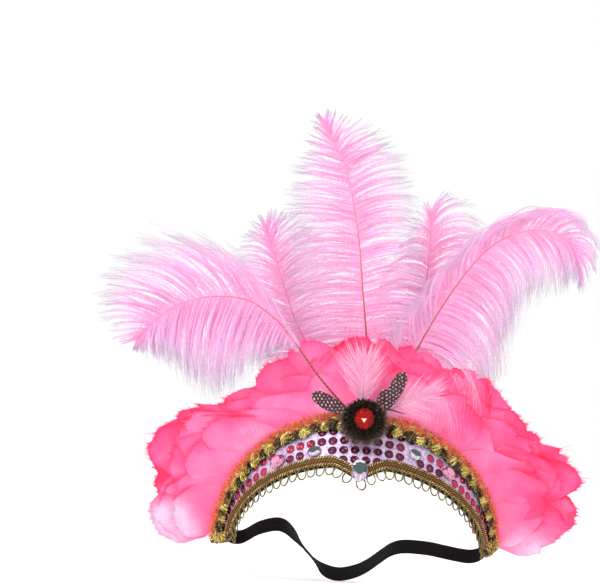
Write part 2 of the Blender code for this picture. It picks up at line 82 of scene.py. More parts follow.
# each operator and its reflected form, so that 1 - mask works as well
for sign, operation in {"add": "ADD", "sub": "SUBTRACT", "mul": "MULTIPLY", "truediv": "DIVIDE",
                        "pow": "POWER", "mod": "FLOORED_MODULO"}.items():
    setattr(Reading, f"__{sign}__", lambda self, other, work=operation: self.calculate(work, self, other))
    setattr(Reading, f"__r{sign}__", lambda self, other, work=operation: self.calculate(work, other, self))


class Finish:
    """A material whose nodes all lead to its Principled shader. Stops are the colours that
    its dye number, the second number of a piece's own map, runs through."""

    def __init__(self, name, stops=(), **constants):
        self.material = bpy.data.materials.new(name)
        self.material.use_nodes = True
        self.tree = self.material.node_tree
        self.paint(**constants)
        if stops:
            self.paint(Base_Color=self.ramp(self.map(1), *stops))

    def feed(self, socket, value):
        if isinstance(value, Reading):
            self.tree.links.new(value.socket, socket)
        elif isinstance(value, tuple) and len(value) == 3 and len(socket.default_value) == 4:
            socket.default_value = (*value, 1)
        else:
            socket.default_value = value

    def paint(self, **values):
        """Set the shader's sockets, whose names are written with _ for each space."""
        for name, value in values.items():
            self.feed(self.tree.nodes["Principled BSDF"].inputs[name.replace("_", " ")], value)

    def add(self, kind, settings=None, inputs=None, output=0):
        """A node of a kind: its settings first, then its sockets' values or links."""
        node = self.tree.nodes.new("ShaderNode" + kind)
        for name, value in (settings or {}).items():
            if name == "stops":
                while len(node.color_ramp.elements) < len(value):
                    node.color_ramp.elements.new(1)
                for element, (position, *colour) in zip(node.color_ramp.elements, value):
                    element.position = position
                    element.color = (*colour, 1)
            else:
                setattr(node, name, value)
        for name, value in (inputs or {}).items():
            self.feed(node.inputs[name], value)
        return Reading(self, node.outputs[output])

    def place(self):
        """Object coordinates, in metres."""
        return self.add("TexCoord", output="Object")

    def map(self, axis):
        """One number of the piece's own map: 0 runs along its threads, 1 across them."""
        return self.add("SeparateXYZ", {}, {0: self.add("UVMap", {"uv_map": "threads"})}, axis)

    def noise(self, scale, detail=2.0):
        return self.add("TexNoise", {}, {"Vector": self.place(), "Scale": scale, "Detail": detail})

    def mix(self, share, first, second):
        """Two colours mixed, all of the second at a share of 1."""
        return self.add("Mix", {"data_type": "RGBA"}, {0: share, 6: first, 7: second}, 2)

    def ramp(self, share, *stops):
        return self.add("ValToRGB", {"stops": stops}, {0: share})

    def bump(self, height, depth, strength=1.0):
        """The normal over a relief of that depth in metres."""
        return self.add("Bump", {}, {"Height": height, "Distance": depth, "Strength": strength})


def show(name, data):
    """A new object in the scene."""
    shown = bpy.data.objects.new(name, data)
    bpy.context.scene.collection.objects.link(shown)
    return shown


beside, below = (IMAGE_WIDTH / 2 - ORIGIN_ACROSS) * PIXEL, (IMAGE_HEIGHT / 2 - ORIGIN_DOWN) * PIXEL
aim_x = beside * math.cos(IMAGE_TURN) + below * math.sin(IMAGE_TURN)
aim_z = beside * math.sin(IMAGE_TURN) - below * math.cos(IMAGE_TURN)
camera = show("camera", bpy.data.cameras.new("camera"))
camera.data.sensor_width = SENSOR_WIDTH
camera.data.lens = SENSOR_WIDTH * CAMERA_DISTANCE / (IMAGE_WIDTH * PIXEL)
camera.matrix_world = (Matrix.Translation((aim_x, -CAMERA_DISTANCE, aim_z))
                       @ Matrix.Rotation(-IMAGE_TURN, 4, "Y") @ Matrix.Rotation(math.pi / 2, 4, "X"))
bpy.context.scene.camera = camera
bpy.context.scene.view_settings.view_transform = "Standard"
world = bpy.data.worlds.new("white_room")
bpy.context.scene.world = world
world.use_nodes = True
world.node_tree.nodes["Background"].inputs["Color"].default_value = (1.0, 1.0, 1.0, 1)

lamp = show("softbox_above_left", bpy.data.lights.new("softbox_above_left", "AREA"))
lamp.data.size = LAMP_SIZE
lamp.data.energy = LAMP_WATTS
lamp_turn = (Vector(LAMP_PLACE) - Vector(LAMP_AIM)).to_track_quat("Z", "Y")
lamp.matrix_world = Matrix.Translation(LAMP_PLACE) @ lamp_turn.to_matrix().to_4x4()

floor = show("floor", bpy.data.meshes.new("floor"))
floor.data.from_pydata([(x * FLOOR_REACH, y * FLOOR_REACH, FLOOR_HEIGHT)
                        for x, y in ((-1, -1), (1, -1), (1, 1), (-1, 1))], [], [(0, 1, 2, 3)])
floor.data.materials.append(Finish("pale_floor", Base_Color=(0.95, 0.95, 0.95), Emission_Color=(1, 1, 1),
                                   Emission_Strength=0.26, Roughness=0.9).material)


# Felt band: a crescent cut from stiff black felt, 1.6 mm thick, that goes round the
# forehead and carries everything else. Its lower edge dips to a point in the middle.
LOWER_HALF_WIDTH, LOWER_SKEW, LOWER_REACH = 91.7 * MM, 2.4 * MM, 97.9 * MM
LOWER_TILT = math.radians(39.7)
UPPER_HALF_WIDTH, UPPER_END_SKEW = 102.4 * MM, 5.1 * MM
UPPER_FRONT_Y, UPPER_FRONT_Z = -52 * MM, 98 * MM
UPPER_END_Y, UPPER_END_Z = 19.5 * MM, 1.1 * MM
BAND_LIMIT = math.radians(87)
POINT_DROP, POINT_HALF_WIDTH = 13 * MM, 18 * MM
FELT_THICKNESS, FELT_LIP, FELT_MARGIN = 1.6 * MM, 0.5 * MM, 0.6 * MM
LAYER_STATIONS = 241


def unit(vectors):
    """Vectors brought to a length of 1, along the last axis."""
    return vectors / np.maximum(np.linalg.norm(vectors, axis=-1, keepdims=True), 1e-12)


def column(values):
    """Numbers given a last axis, so that they scale vectors."""
    return np.asarray(values)[..., None]


def run_along(path):
    """How far along its path each point lies, for one path or a stack of them."""
    steps = np.linalg.norm(np.diff(path, axis=-2), axis=-1)
    return np.concatenate([0 * steps[..., :1], np.cumsum(steps, -1)], -1)


def lower_edge(phi):
    """Half an ellipse in a plane that drops towards the back, a little wider on the wearer's
    left; phi is 0 in front."""
    aside, back = np.sin(phi), -LOWER_REACH * np.cos(phi)
    return np.stack([(LOWER_HALF_WIDTH + LOWER_SKEW * aside) * aside, back * math.cos(LOWER_TILT),
                     -back * math.sin(LOWER_TILT)], -1)


def upper_edge(phi):
    """Half of a wider ellipse, from its front point to its two ends, the left one higher."""
    forward = np.cos(phi)
    end_z = UPPER_END_Z + UPPER_END_SKEW * np.sin(phi)
    return np.stack([UPPER_HALF_WIDTH * np.sin(phi), UPPER_END_Y + (UPPER_FRONT_Y - UPPER_END_Y) * forward,
                     end_z + (UPPER_FRONT_Z - end_z) * forward], -1)


def band_frame(phi):
    """Lower point, band width, and the unit vectors across the band and out of its face."""
    low, high = lower_edge(phi), upper_edge(phi)
    step = 0.001
    along = lower_edge(phi + step) + upper_edge(phi + step) - lower_edge(phi - step) - upper_edge(phi - step)
    across = unit(high - low)
    return low, np.linalg.norm(high - low, axis=-1), across, unit(np.cross(along, across))


def on_band(phi, across_band, height):
    """Points at a distance from the lower edge and a height over the felt's inner face."""
    low, _, across, out = band_frame(phi)
    return low + across * column(across_band) + out * column(height)


def point_drop(phi):
    """How far the lower edge dips below the ellipse, a rounded V in the middle."""
    inside = 1 - np.abs(lower_edge(phi)[..., 0]) / POINT_HALF_WIDTH
    return POINT_DROP * (inside + np.sqrt(inside ** 2 + 0.03)) / 2


def band_angles(count):
    """Angles from one end to the other, closer together round the middle point."""
    even = np.linspace(-1, 1, count)
    return BAND_LIMIT * (0.72 * even + 0.28 * even ** 3)


def tube_faces(stations, ring):
    """Quads round a tube of rings, and one cap on each end."""
    station, side = np.meshgrid(np.arange(stations - 1), np.arange(ring), indexing="ij")
    low, after = station * ring, (side + 1) % ring
    quads = np.stack([low + side, low + after, low + ring + after, low + ring + side], -1).reshape(-1, 4)
    return [quads, np.arange(ring)[None, ::-1], (stations - 1) * ring + np.arange(ring)[None]]


def grid_faces(rows, columns):
    """Quads of an open surface whose points run along its rows."""
    row, place = np.meshgrid(np.arange(rows - 1), np.arange(columns - 1), indexing="ij")
    corner = row * columns + place
    return [np.stack([corner, corner + 1, corner + columns + 1, corner + columns], -1).reshape(-1, 4)]


def repeat_faces(faces, points_each, copies):
    """The faces of one small shape, numbered on for as many copies."""
    shift = np.arange(copies)[:, None, None] * points_each
    return [(part[None] + shift).reshape(-1, part.shape[1]) for part in faces]


def own_map(along, across):
    """A piece's own map, from a number that runs along its threads and one across them."""
    return np.stack(np.broadcast_arrays(along, across), -1)


def share_map(stations, width, dye):
    """The map of many small shapes: 0 to 1 along each one's stations, and its dye number."""
    return own_map(np.linspace(0, 1, stations)[:, None], dye[:, None, None] + np.zeros(width))


def new_piece(name, points, faces, finish, slot, replaced=(), threads=None, closed=False, flat=False):
    """A mesh from an array of points and arrays of faces, riding on the headdress.

    threads gives each point's place on the piece's own map. The faces of a closed piece are
    turned outwards.
    """
    corners = np.concatenate([part.ravel() for part in faces])
    sizes = np.concatenate([np.full(len(part), part.shape[1]) for part in faces])
    mesh = bpy.data.meshes.new(name)
    mesh.vertices.add(points.size // 3)
    mesh.vertices.foreach_set("co", points.reshape(-1).astype(np.float32))
    mesh.loops.add(len(corners))
    mesh.loops.foreach_set("vertex_index", corners.astype(np.int32))
    mesh.polygons.add(len(sizes))
    mesh.polygons.foreach_set("loop_start", (np.cumsum(sizes) - sizes).astype(np.int32))
    mesh.polygons.foreach_set("use_smooth", np.full(len(sizes), not flat))
    uv_layer = mesh.uv_layers.new(name="threads")
    uv_layer.data.foreach_set("uv", threads.reshape(-1, 2)[corners].reshape(-1).astype(np.float32))
    mesh.update(calc_edges=True)
    if closed:
        work = bmesh.new()
        work.from_mesh(mesh)
        bmesh.ops.recalc_face_normals(work, faces=work.faces)
        work.to_mesh(mesh)
        work.free()
    mesh.materials.append(finish.material)
    piece = show(name, mesh)
    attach(piece, "root")
    if replaced:
        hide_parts(*replaced)
    return piece


def tube_piece(name, rings, *others):
    """A closed piece from rings of points, which may be those of many small tubes."""
    stations, ring = rings.shape[-3:-1]
    faces = repeat_faces(tube_faces(stations, ring), stations * ring, rings.size // (stations * ring * 3))
    return new_piece(name, rings, faces, *others, closed=True)


def band_layer(name, low, high, bottom, thickness, finish, slot, node):
    """A flat layer of the band with rounded edges. low and high are the distances of its
    edges from the band's lower edge."""
    rounding = [(0.0, 0.0), (-0.35, 0.25), (-0.35, 0.75), (0.0, 1.0)]
    across = [low + thickness * inwards for inwards, _ in rounding]
    across += [low + (high - low) * share for share in (0.25, 0.5, 0.75)]
    across += [high - thickness * inwards for inwards, _ in rounding[::-1]]
    across += [low + (high - low) * share for share in (0.75, 0.5, 0.25)]
    rise = [share for _, share in rounding] + [1.0] * 3
    rise += [share for _, share in rounding[::-1]] + [0.0] * 3
    across = np.stack(across, -1)
    rings = on_band(LAYER_PHI[:, None], across, bottom + thickness * np.array(rise))
    return tube_piece(name, rings, finish, slot, [node], own_map(run_along(rings[:, 5])[:, None], across))


LAYER_PHI = band_angles(LAYER_STATIONS)
LAYER_WIDTH = band_frame(LAYER_PHI)[1]
LAYER_DROP = point_drop(LAYER_PHI)
felt = Finish("black_felt", Roughness=0.95, Sheen_Weight=0.15, Specular_IOR_Level=0.2)
fibre = felt.noise(900, 4)
felt.paint(Base_Color=felt.mix(fibre, (0.004, 0.004, 0.005), (0.030, 0.028, 0.030)),
           Normal=felt.bump(fibre, 0.25 * MM, 0.7))
band_layer("felt_band", FELT_MARGIN - LAYER_DROP, LAYER_WIDTH + FELT_LIP, 0.0, FELT_THICKNESS, felt,
           "black_felt", "band_backing")


# Sequin fabric: a strip of lilac cloth with a woven metal thread and a pebbled face, laid
# flat over the felt and held by the trims along both edges.
FABRIC_BOTTOM, FABRIC_THICKNESS = 1.9 * MM, 1.0 * MM
FABRIC_LOW_MARGIN, FABRIC_HIGH_MARGIN = 2.6 * MM, 1.0 * MM
TRIM_HEIGHT = 3.2 * MM

lilac = Finish("lilac_fabric", Roughness=0.38, Metallic=0.35, Sheen_Weight=0.3)
pebbles = lilac.add("TexVoronoi", {"feature": "F1"}, {"Vector": lilac.place(), "Scale": 1100})
glints = lilac.noise(2600, 2).between(0.56, 0.66)
lilac_ground = lilac.mix(lilac.noise(420, 3).between(0.35, 0.65), (0.43, 0.28, 0.53), (0.71, 0.57, 0.78))
lilac.paint(Base_Color=lilac.mix(glints * 0.7, lilac_ground, (1.0, 0.95, 1.0)),
            Normal=lilac.bump(pebbles, 0.3 * MM, 0.6))
fabric = band_layer("lilac_cloth", FABRIC_LOW_MARGIN - LAYER_DROP, LAYER_WIDTH - FABRIC_HIGH_MARGIN,
                    FABRIC_BOTTOM, FABRIC_THICKNESS, lilac, "lilac_fabric", "sequin_fabric")


# Sequins: cupped foil discs, 6.8 mm across, sewn through their middle with a small bead,
# 8.5 mm apart in rows over the fabric. They are burgundy, rose and red.
SEQUIN_PITCH = 8.5 * MM
SEQUIN_ROWS = [4.6 * MM, 13.0 * MM, 21.3 * MM, 29.6 * MM]
SEQUIN_PROFILE = [  # radius and rise, in millimetres
    (0.25, 0.02), (3.3, 0.42), (3.4, 0.50), (2.1, 0.22), (0.75, 0.16), (0.55, 0.42), (0.22, 0.62)]
SEQUIN_SIDES, SEQUIN_TIP = 12, 0.055
TRIM_OVERLAP, STONE_ROOM, END_ROOM = 1.6 * MM, 2.2 * MM, 2 * MM
GIMP_WIDTH, BRAID_WIDTH = 8.5 * MM, 13 * MM
STONES = [  # name, angle in degrees, and in mm: place across, length along, width and height
    ("stone_middle", 0.0, -7.0, 12.5, 19.0, 5.0),
    ("stone_inner_right", -20.2, 13.5, 11.0, 8.6, 3.6),
    ("stone_inner_left", 23.4, 18.4, 11.0, 8.6, 3.6),
    ("stone_outer_right", -37.6, 14.4, 14.0, 9.6, 4.0),
    ("stone_outer_left", 40.4, 17.0, 14.0, 9.6, 4.0),
]


def rounds(count):
    """Angles of even steps round a circle."""
    return np.arange(count) * math.tau / count


def spokes(turn, first, second):
    """Vectors at angles that turn from a first vector towards a second."""
    return np.cos(turn)[..., None] * first[..., None, :] + np.sin(turn)[..., None] * second[..., None, :]


foil = Finish("sequin_foil", Roughness=0.24, Metallic=0.75, Coat_Weight=0.4, Coat_Roughness=0.1)
foil_dye = foil.ramp(foil.map(1), (0, 0.085, 0.004, 0.028), (0.45, 0.13, 0.006, 0.04),
                     (0.6, 0.42, 0.02, 0.05), (0.8, 0.68, 0.03, 0.14), (1, 0.75, 0.1, 0.24))
foil.paint(Base_Color=foil.mix(foil.map(0).between(0.80, 0.84), foil_dye, (0.30, 0.12, 0.14)),
           Normal=foil.bump(foil.noise(500, 1), 0.12 * MM, 0.5))
draw = np.random.default_rng(11)
phi, row = np.empty(0), np.empty(0)
fine_phi = np.linspace(-BAND_LIMIT, BAND_LIMIT, 2001)
for place in SEQUIN_ROWS:
    run = run_along(on_band(fine_phi, place, TRIM_HEIGHT))
    steps = np.interp(0, fine_phi, run) + np.arange(-20.5, 21) * SEQUIN_PITCH
    steps = steps[(steps > END_ROOM) & (steps < run[-1] - END_ROOM)]
    phi = np.append(phi, np.interp(steps, run, fine_phi))
    row = np.append(row, np.full(len(steps), place))
shown = row > GIMP_WIDTH - point_drop(phi) - TRIM_OVERLAP
shown &= row < band_frame(phi)[1] + FELT_LIP - BRAID_WIDTH + TRIM_OVERLAP
for _, angle, across, length, width, _ in STONES:
    stone = on_band(math.radians(angle), across * MM, TRIM_HEIGHT)
    near = np.linalg.norm(on_band(phi, row, TRIM_HEIGHT) - stone, axis=-1)
    shown &= near > (length + width) / 4 * MM + STONE_ROOM
phi, row = phi[shown], row[shown]
_, _, across, out = band_frame(phi)
along = np.cross(across, out)
tip = draw.normal(0, SEQUIN_TIP, (2, len(phi)))
up = unit(out + along * column(tip[0]) + across * column(tip[1]))
first = unit(along - up * column(np.sum(along * up, -1)))
centre = on_band(phi, row, FABRIC_BOTTOM + FABRIC_THICKNESS + 0.02 * MM)
radius, rise = np.array(SEQUIN_PROFILE).T[:, :, None, None] * MM
spoke = spokes(rounds(SEQUIN_SIDES), first[:, None], np.cross(up, first)[:, None])
points = centre[:, None, None] + spoke * radius + up[:, None, None] * rise
sideways = np.clip(np.abs(np.degrees(phi)) / 42, 0, 1)
dye = np.clip(0.07 + 0.22 * sideways ** 1.5 + 0.28 * (row > 20 * MM) + 0.36 * sideways ** 3 * (row > 10 * MM)
              + draw.normal(0, 0.12, len(phi)), 0, 1)
tube_piece("sequins", points, foil, "lilac_fabric", (), share_map(len(SEQUIN_PROFILE), SEQUIN_SIDES, dye))


# Gold gimp: a narrow woven tape with three twisted cords along it, sewn over the lower edge,
# and a row of round picot loops that hang from its edge over the forehead.
GIMP_THICKNESS, TAPE_THICKNESS, TAPE_MARGIN = 2.2 * MM, 1.2 * MM, 0.3 * MM
CORD_PLACES, CORD_LIFT = [1.2 * MM, 4.2 * MM, 7.2 * MM], 1.15 * MM
CORD_RADIUS, CORD_PITCH, CORD_STATIONS, CORD_SIDES = 1.1 * MM, 4.4 * MM, 641, 8
DARKER_CORD = 10.0  # added to the middle cord's map, where its finish turns copper
LOOP_COUNT, LOOP_SPAN, LOOP_OPENING = 39, 84, 148
LOOP_HALF_WIDTH, LOOP_HALF_LENGTH, LOOP_ROOT, LOOP_DROOP = 3.2 * MM, 4.2 * MM, 0.5 * MM, 0.4
LOOP_RADIUS, LOOP_PITCH, LOOP_STATIONS, LOOP_SIDES = 0.66 * MM, 1.6 * MM, 27, 6


def twisted_rings(path, out, radius, pitch, sides):
    """A cord of two plies: circles along a path, swollen in two ridges that turn once round
    for every pitch of the way. Returns points and their map."""
    along = unit(np.gradient(path, axis=-2))
    side = unit(np.cross(along, out))
    run, turn = column(run_along(path)), rounds(sides)
    ridge = np.cos(2 * (turn - run * math.tau / pitch))
    reach = column(radius * (0.80 + 0.20 * ridge))
    points = path[..., None, :] + spokes(turn, side, np.cross(side, along)) * reach
    return points, own_map(run, 0.5 + 0.5 * ridge)


gold = Finish("gold_gimp", Roughness=0.38, Metallic=0.7)
gold_tone = gold.mix(gold.noise(260).between(0.4, 0.62), (0.34, 0.21, 0.05), (0.80, 0.62, 0.24))
gold_tone = gold.mix(gold.map(0).between(5, 6), gold_tone, (0.32, 0.135, 0.045))
# Painted shade: the grooves between the plies are painted near black, the crests in the gold tone.
gold.paint(Base_Color=gold.mix(gold.map(1).between(0.25, 0.9), (0.050, 0.024, 0.006), gold_tone),
           Normal=gold.bump(gold.noise(3200), 0.08 * MM, 0.6))
cord_phi = band_angles(CORD_STATIONS)
for number, place in enumerate(CORD_PLACES):
    path = on_band(cord_phi, place - point_drop(cord_phi), TRIM_HEIGHT + CORD_LIFT)
    rings, threads = twisted_rings(path, band_frame(cord_phi)[3], CORD_RADIUS, CORD_PITCH, CORD_SIDES)
    threads[..., 0] += DARKER_CORD * (number == 1)
    tube_piece(f"gimp_cord_{number + 1}", rings, gold, "gold_gimp", (), threads)

tape = Finish("gimp_tape", Roughness=0.6, Metallic=0.3)
weave = tape.map(0).wave(1.1 * MM) * tape.map(1).wave(0.8 * MM)
tape.paint(Base_Color=tape.mix(weave, (0.045, 0.020, 0.006), (0.34, 0.20, 0.06)),
           Normal=tape.bump(weave, 0.2 * MM, 0.8))
band_layer("gimp_tape", TAPE_MARGIN - LAYER_DROP, GIMP_WIDTH - TAPE_MARGIN - LAYER_DROP, TRIM_HEIGHT,
           TAPE_THICKNESS, tape, "gold_gimp", "lower_gimp")

draw = np.random.default_rng(5)
loop_phi = np.radians(np.linspace(-LOOP_SPAN, LOOP_SPAN, LOOP_COUNT))
edge, ahead = (on_band(phi, -point_drop(phi), TRIM_HEIGHT + GIMP_THICKNESS / 2)
               for phi in (loop_phi, loop_phi + 0.002))
_, _, up, out = band_frame(loop_phi)
along = unit(ahead - edge)
down = np.cross(along, out)
down = unit(down * -np.sign(column(np.sum(down * up, -1))) + np.array([0, 0, -LOOP_DROOP]))
along = unit(along + down * column(draw.normal(0, 0.14, LOOP_COUNT)))
turn = np.radians(np.linspace(-LOOP_OPENING, LOOP_OPENING, LOOP_STATIONS))[:, None]
size = 1 + draw.normal(0, 0.06, (LOOP_COUNT, 1, 1))
path = (edge + down * (LOOP_HALF_LENGTH - LOOP_ROOT))[:, None] + size * (
    down[:, None] * np.cos(turn) * LOOP_HALF_LENGTH + along[:, None] * np.sin(turn) * LOOP_HALF_WIDTH)
wire = Finish("gold_loop_wire", Roughness=0.4, Metallic=0.6)
# Painted shade: the grooves between the wire's plies are painted dark, the crests gold.
wire.paint(Base_Color=wire.mix(wire.map(1), (0.040, 0.028, 0.006), (0.34, 0.27, 0.07)))
rings, threads = twisted_rings(path, unit(np.cross(down, along))[:, None], LOOP_RADIUS, LOOP_PITCH,
                               LOOP_SIDES)
tube_piece("picot_loops", rings, wire, "gold_gimp", (), threads)


# Tinsel braid: a fancy braid along the upper edge. It has a dark core, slantwise bundles of
# gold tinsel yarn every 15 mm with dark bundles between, and an orange brushed fringe.
BRAID_THICKNESS, BRAID_TUFTS = 4.4 * MM, 23
BRAID_OUTLINE = [(0.04, 0.0), (0.0, 0.35), (0.22, 0.52), (0.5, 0.60), (0.8, 0.55), (0.98, 0.3), (0.94, 0.0)]
YARN_STATIONS, LOOSE_YARNS, FRINGE_HAIRS = 7, 3600, 11000


def ribbon_faces(points):
    """Quads of many ribbons, whose points come in pairs along each one."""
    return repeat_faces(grid_faces(points.shape[1], 2), points.shape[1] * 2, len(points))


def ribbon_piece(name, points, finish, slot, dye):
    """Many ribbons, each with its own dye number."""
    return new_piece(name, points, ribbon_faces(points), finish, slot, (), share_map(points.shape[1], 2, dye))


def hair_ribbons(start, heading, length, width, fall, curl, segments=3):
    """Flat hairs: each leaves its start on its heading and bends by its share of curl
    towards the fall direction, and its width runs out to a point."""
    share = np.linspace(0, 1, segments + 1)[:, None]
    heading, bend = heading[:, None], column(curl)[:, None]
    path = start[:, None] + column(length)[:, None] * share * (
        heading * (1 - bend * share) + fall[..., None, :] * bend * share)
    any_side = draw.normal(0, 1, (len(start), 1, 3))
    side = unit(np.cross(heading, any_side)) * (width / 2) * (1 - share ** 2 * 0.85)
    return np.stack([path - side, path + side], 2)


def hair_piece(name, start, heading, length, width, fall, curl, finish, slot, segments=3):
    points = hair_ribbons(start, heading, length, width, fall, curl, segments)
    ribbon_piece(name, points, finish, slot, draw.random(len(start)))


def arches(middle, run, up, reach, rise):
    """Yarns in half a sine wave each: reach along their run and rise over their middle."""
    share = np.linspace(0, 1, YARN_STATIONS)[:, None]
    return (middle[:, None] + run[:, None] * column(reach)[:, None] * (share - 0.5)
            + up[:, None] * column(rise)[:, None] * np.sin(math.pi * share))


def yarn_bundles(name, angles, sizes, slant, yarns, finish):
    """Bundles of yarns side by side, which rise over the braid and come down on its other
    side. sizes are, in millimetres, how far from the upper edge they lie, the yarns' length,
    the bundle's width and rise, and the yarns' width."""
    place, length, width, rise, thickness = np.array(sizes) * MM
    angle = np.repeat(angles, yarns)
    count = len(angle)
    longer, wider, steeper, shift = np.repeat(draw.normal(0, 1, (4, len(angles))), yarns, axis=1)
    beside = draw.normal(0, 0.42, count) * width / 2 * (1 + 0.22 * wider)
    across = band_frame(angle)[1] - place + shift * 0.7 * MM + draw.normal(0, 0.6 * MM, count)
    height = TRIM_HEIGHT + 0.36 * BRAID_THICKNESS + draw.uniform(0, 0.7 * MM, count)
    middle = on_band(angle, across, height)
    _, _, up, out = band_frame(angle)
    turn = math.radians(slant) + 0.25 * steeper + draw.normal(0, 0.42, count)
    run = up * column(np.cos(turn)) + np.cross(up, out) * column(np.sin(turn))
    sideways = unit(np.cross(run, out))
    path = arches(middle + sideways * column(beside), run, out,
                  length * (1 + 0.14 * longer) * draw.uniform(0.35, 1.15, count),
                  rise * (1 - 2 * (beside / width) ** 2) * draw.uniform(0.5, 1.5, count))
    path = path + draw.normal(0, 0.10 * MM, path.shape)
    flat = unit(sideways + out * column(draw.normal(0, 0.7, count)))[:, None] * thickness / 2
    ribbon_piece(name, np.stack([path - flat, path + flat], 2), finish, "tinsel_braid", draw.random(count))


def braid_hairs(name, phi, beyond, height, heads, length, width, curl, finish, segments=3):
    """Hairs that start so far beyond the upper edge, head up, sideways and outward by three
    shares, and bend back."""
    _, edge, up, out = band_frame(phi)
    upward, sideways, outward = (column(share) for share in heads)
    heading = unit(up * upward + np.cross(up, out) * sideways + out * outward)
    hair_piece(name, on_band(phi, edge + beyond, TRIM_HEIGHT + height), heading, length * MM, width, -out,
               curl, finish, "tinsel_braid", segments)


core = Finish("braid_core", Roughness=0.8)
shag = core.noise(700, 3)
core_ground = core.mix(core.map(1).between(0.42, 0.62), (0.014, 0.008, 0.006), (0.42, 0.06, 0.02))
core.paint(Base_Color=core.mix(shag.between(0.45, 0.65) * 0.6, core_ground, (0.16, 0.06, 0.02)),
           Normal=core.bump(shag, 0.8 * MM, 0.9))
core_across, core_rise = np.array(BRAID_OUTLINE).T
core_width = BRAID_WIDTH * (0.84 + 0.12 * (0.5 + 0.5 * np.cos(LAYER_PHI / math.pi * BRAID_TUFTS * math.tau)))
across = LAYER_WIDTH[:, None] + FELT_LIP - core_width[:, None] * (1 - core_across)
rings = on_band(LAYER_PHI[:, None], across, TRIM_HEIGHT + core_rise * BRAID_THICKNESS)
tube_piece("braid_core", rings, core, "tinsel_braid", ["upper_braid"],
           own_map(LAYER_PHI[:, None], core_across))

tinsel = Finish("gold_tinsel", [(0, 0.1, 0.06, 0.01), (0.3, 0.36, 0.26, 0.05), (0.65, 0.82, 0.64, 0.14),
                                (1, 1, 0.88, 0.36)], Roughness=0.32, Metallic=0.55)
dark_tinsel = Finish("dark_tinsel", [(0, 0.006, 0.004, 0.004), (0.6, 0.035, 0.014, 0.008),
                                     (0.86, 0.14, 0.07, 0.02), (1, 0.46, 0.34, 0.1)],
                     Roughness=0.4, Metallic=0.3)
orange = Finish("orange_fringe", [(0, 0.1, 0.02, 0.01), (0.12, 0.5, 0.05, 0.03), (0.35, 0.95, 0.14, 0.05),
                                  (0.75, 1, 0.27, 0.09), (0.9, 0.95, 0.34, 0.14), (1, 0.7, 0.5, 0.12)],
                Roughness=0.75, Sheen_Weight=0.3)
draw = np.random.default_rng(21)
tuft_phi = np.arange(-11, 12) * math.pi / BRAID_TUFTS
gap_phi = (np.arange(-11, 11) + 0.5) * math.pi / BRAID_TUFTS
yarn_bundles("braid_gold_bundles", tuft_phi + draw.normal(0, 0.016, BRAID_TUFTS), (7.4, 9.5, 6.4, 2.0, 0.42),
             42, 130, tinsel)
yarn_bundles("braid_dark_bundles", gap_phi, (7.8, 9.0, 6.5, 1.5, 0.5), 42, 90, dark_tinsel)
yarn_bundles("braid_rim_bundles", gap_phi + 0.015, (3.2, 5.0, 7.0, 1.2, 0.4), 75, 26, tinsel)
many = LOOSE_YARNS
phi = draw.uniform(-BAND_LIMIT, BAND_LIMIT, many)
braid_hairs("braid_loose_yarn", phi, -draw.uniform(0.5, 12.5, many) * MM, 2.6 * MM,
            (draw.normal(0, 0.9, many), draw.normal(0, 0.9, many), draw.uniform(0.2, 0.9, many)),
            draw.uniform(1.4, 3.6, many), 0.36 * MM, draw.uniform(0.2, 0.8, many), tinsel)
many = FRINGE_HAIRS
phi = draw.uniform(-BAND_LIMIT, BAND_LIMIT, many)
fuller = 0.7 + 0.7 * np.cos(phi / math.pi * BRAID_TUFTS * 2 * math.tau)
braid_hairs("braid_orange_fringe", phi, (2.2 - 9 * draw.random(many) ** 1.3) * MM,
            draw.uniform(0.6, 2.6, many) * MM,
            (draw.uniform(0.1, 1.1, many), draw.normal(0.2, 0.75, many), draw.uniform(0.1, 0.9, many)),
            draw.uniform(2.4, 5.6, many) + fuller, 0.34 * MM, draw.uniform(0.0, 0.5, many), orange, 2)


# End bindings: at each end of the band the gold trim is folded back round the edge and
# stitched into a flattened roll, whose yarn stands out in small loops.
ROLL_HALF_LENGTH, ROLL_HALF_DEPTH = 6.4 * MM, 4.2 * MM
ROLL_STATIONS, ROLL_SIDES, ROLL_YARNS = 49, 24, 520
ROLL_PITCH, ROLL_GROOVE, ROLL_YARN = 2.4 * MM, 0.06, 0.22 * MM
for side, end in ((-1, "right"), (1, "left")):
    phi = np.array(side * BAND_LIMIT)
    low, width, across, out = band_frame(phi)
    onward = unit(lower_edge(phi) - lower_edge(phi - side * 0.02))
    share, turn = np.linspace(0, 1, ROLL_STATIONS)[:, None], rounds(ROLL_SIDES)
    wound = 1 + ROLL_GROOVE * np.cos(share * width / ROLL_PITCH * math.tau + turn)
    reach = column((0.86 - 0.32 * np.abs(2 * share - 1) ** 6) * wound)
    spine = low - onward * 1.4 * MM + out * (ROLL_HALF_DEPTH + 0.2 * MM) + across * column(width * share)
    roll = spine + reach * spokes(turn, onward * ROLL_HALF_LENGTH, out * ROLL_HALF_DEPTH)
    # Painted shade: the map's second number runs from the grooves between the windings, painted near black,
    # to the crests, painted gold.
    tube_piece(f"end_roll_{end}", roll, dark_tinsel, "tinsel_braid", [f"end_binding_{end}"],
               own_map(width * share, (wound - (1 - ROLL_GROOVE)) / (2 * ROLL_GROOVE)))
    station = draw.integers(2, ROLL_STATIONS - 2, ROLL_YARNS)
    root = roll[station, draw.integers(0, ROLL_SIDES, ROLL_YARNS)]
    away = unit(root - spine[station, 0])
    run = unit(np.cross(away, across) + across * column(draw.normal(0, 0.8, ROLL_YARNS)))
    path = arches(root, run, away, draw.uniform(1.5, 3.6, ROLL_YARNS) * MM,
                  draw.uniform(0.5, 2.0, ROLL_YARNS) * MM)
    flat = unit(np.cross(run, away) + away * column(draw.normal(0, 0.6, ROLL_YARNS)))[:, None] * ROLL_YARN
    ribbon_piece(f"end_roll_yarn_{end}", np.stack([path - flat, path + flat], 2), tinsel, "tinsel_braid",
                 draw.random(ROLL_YARNS))


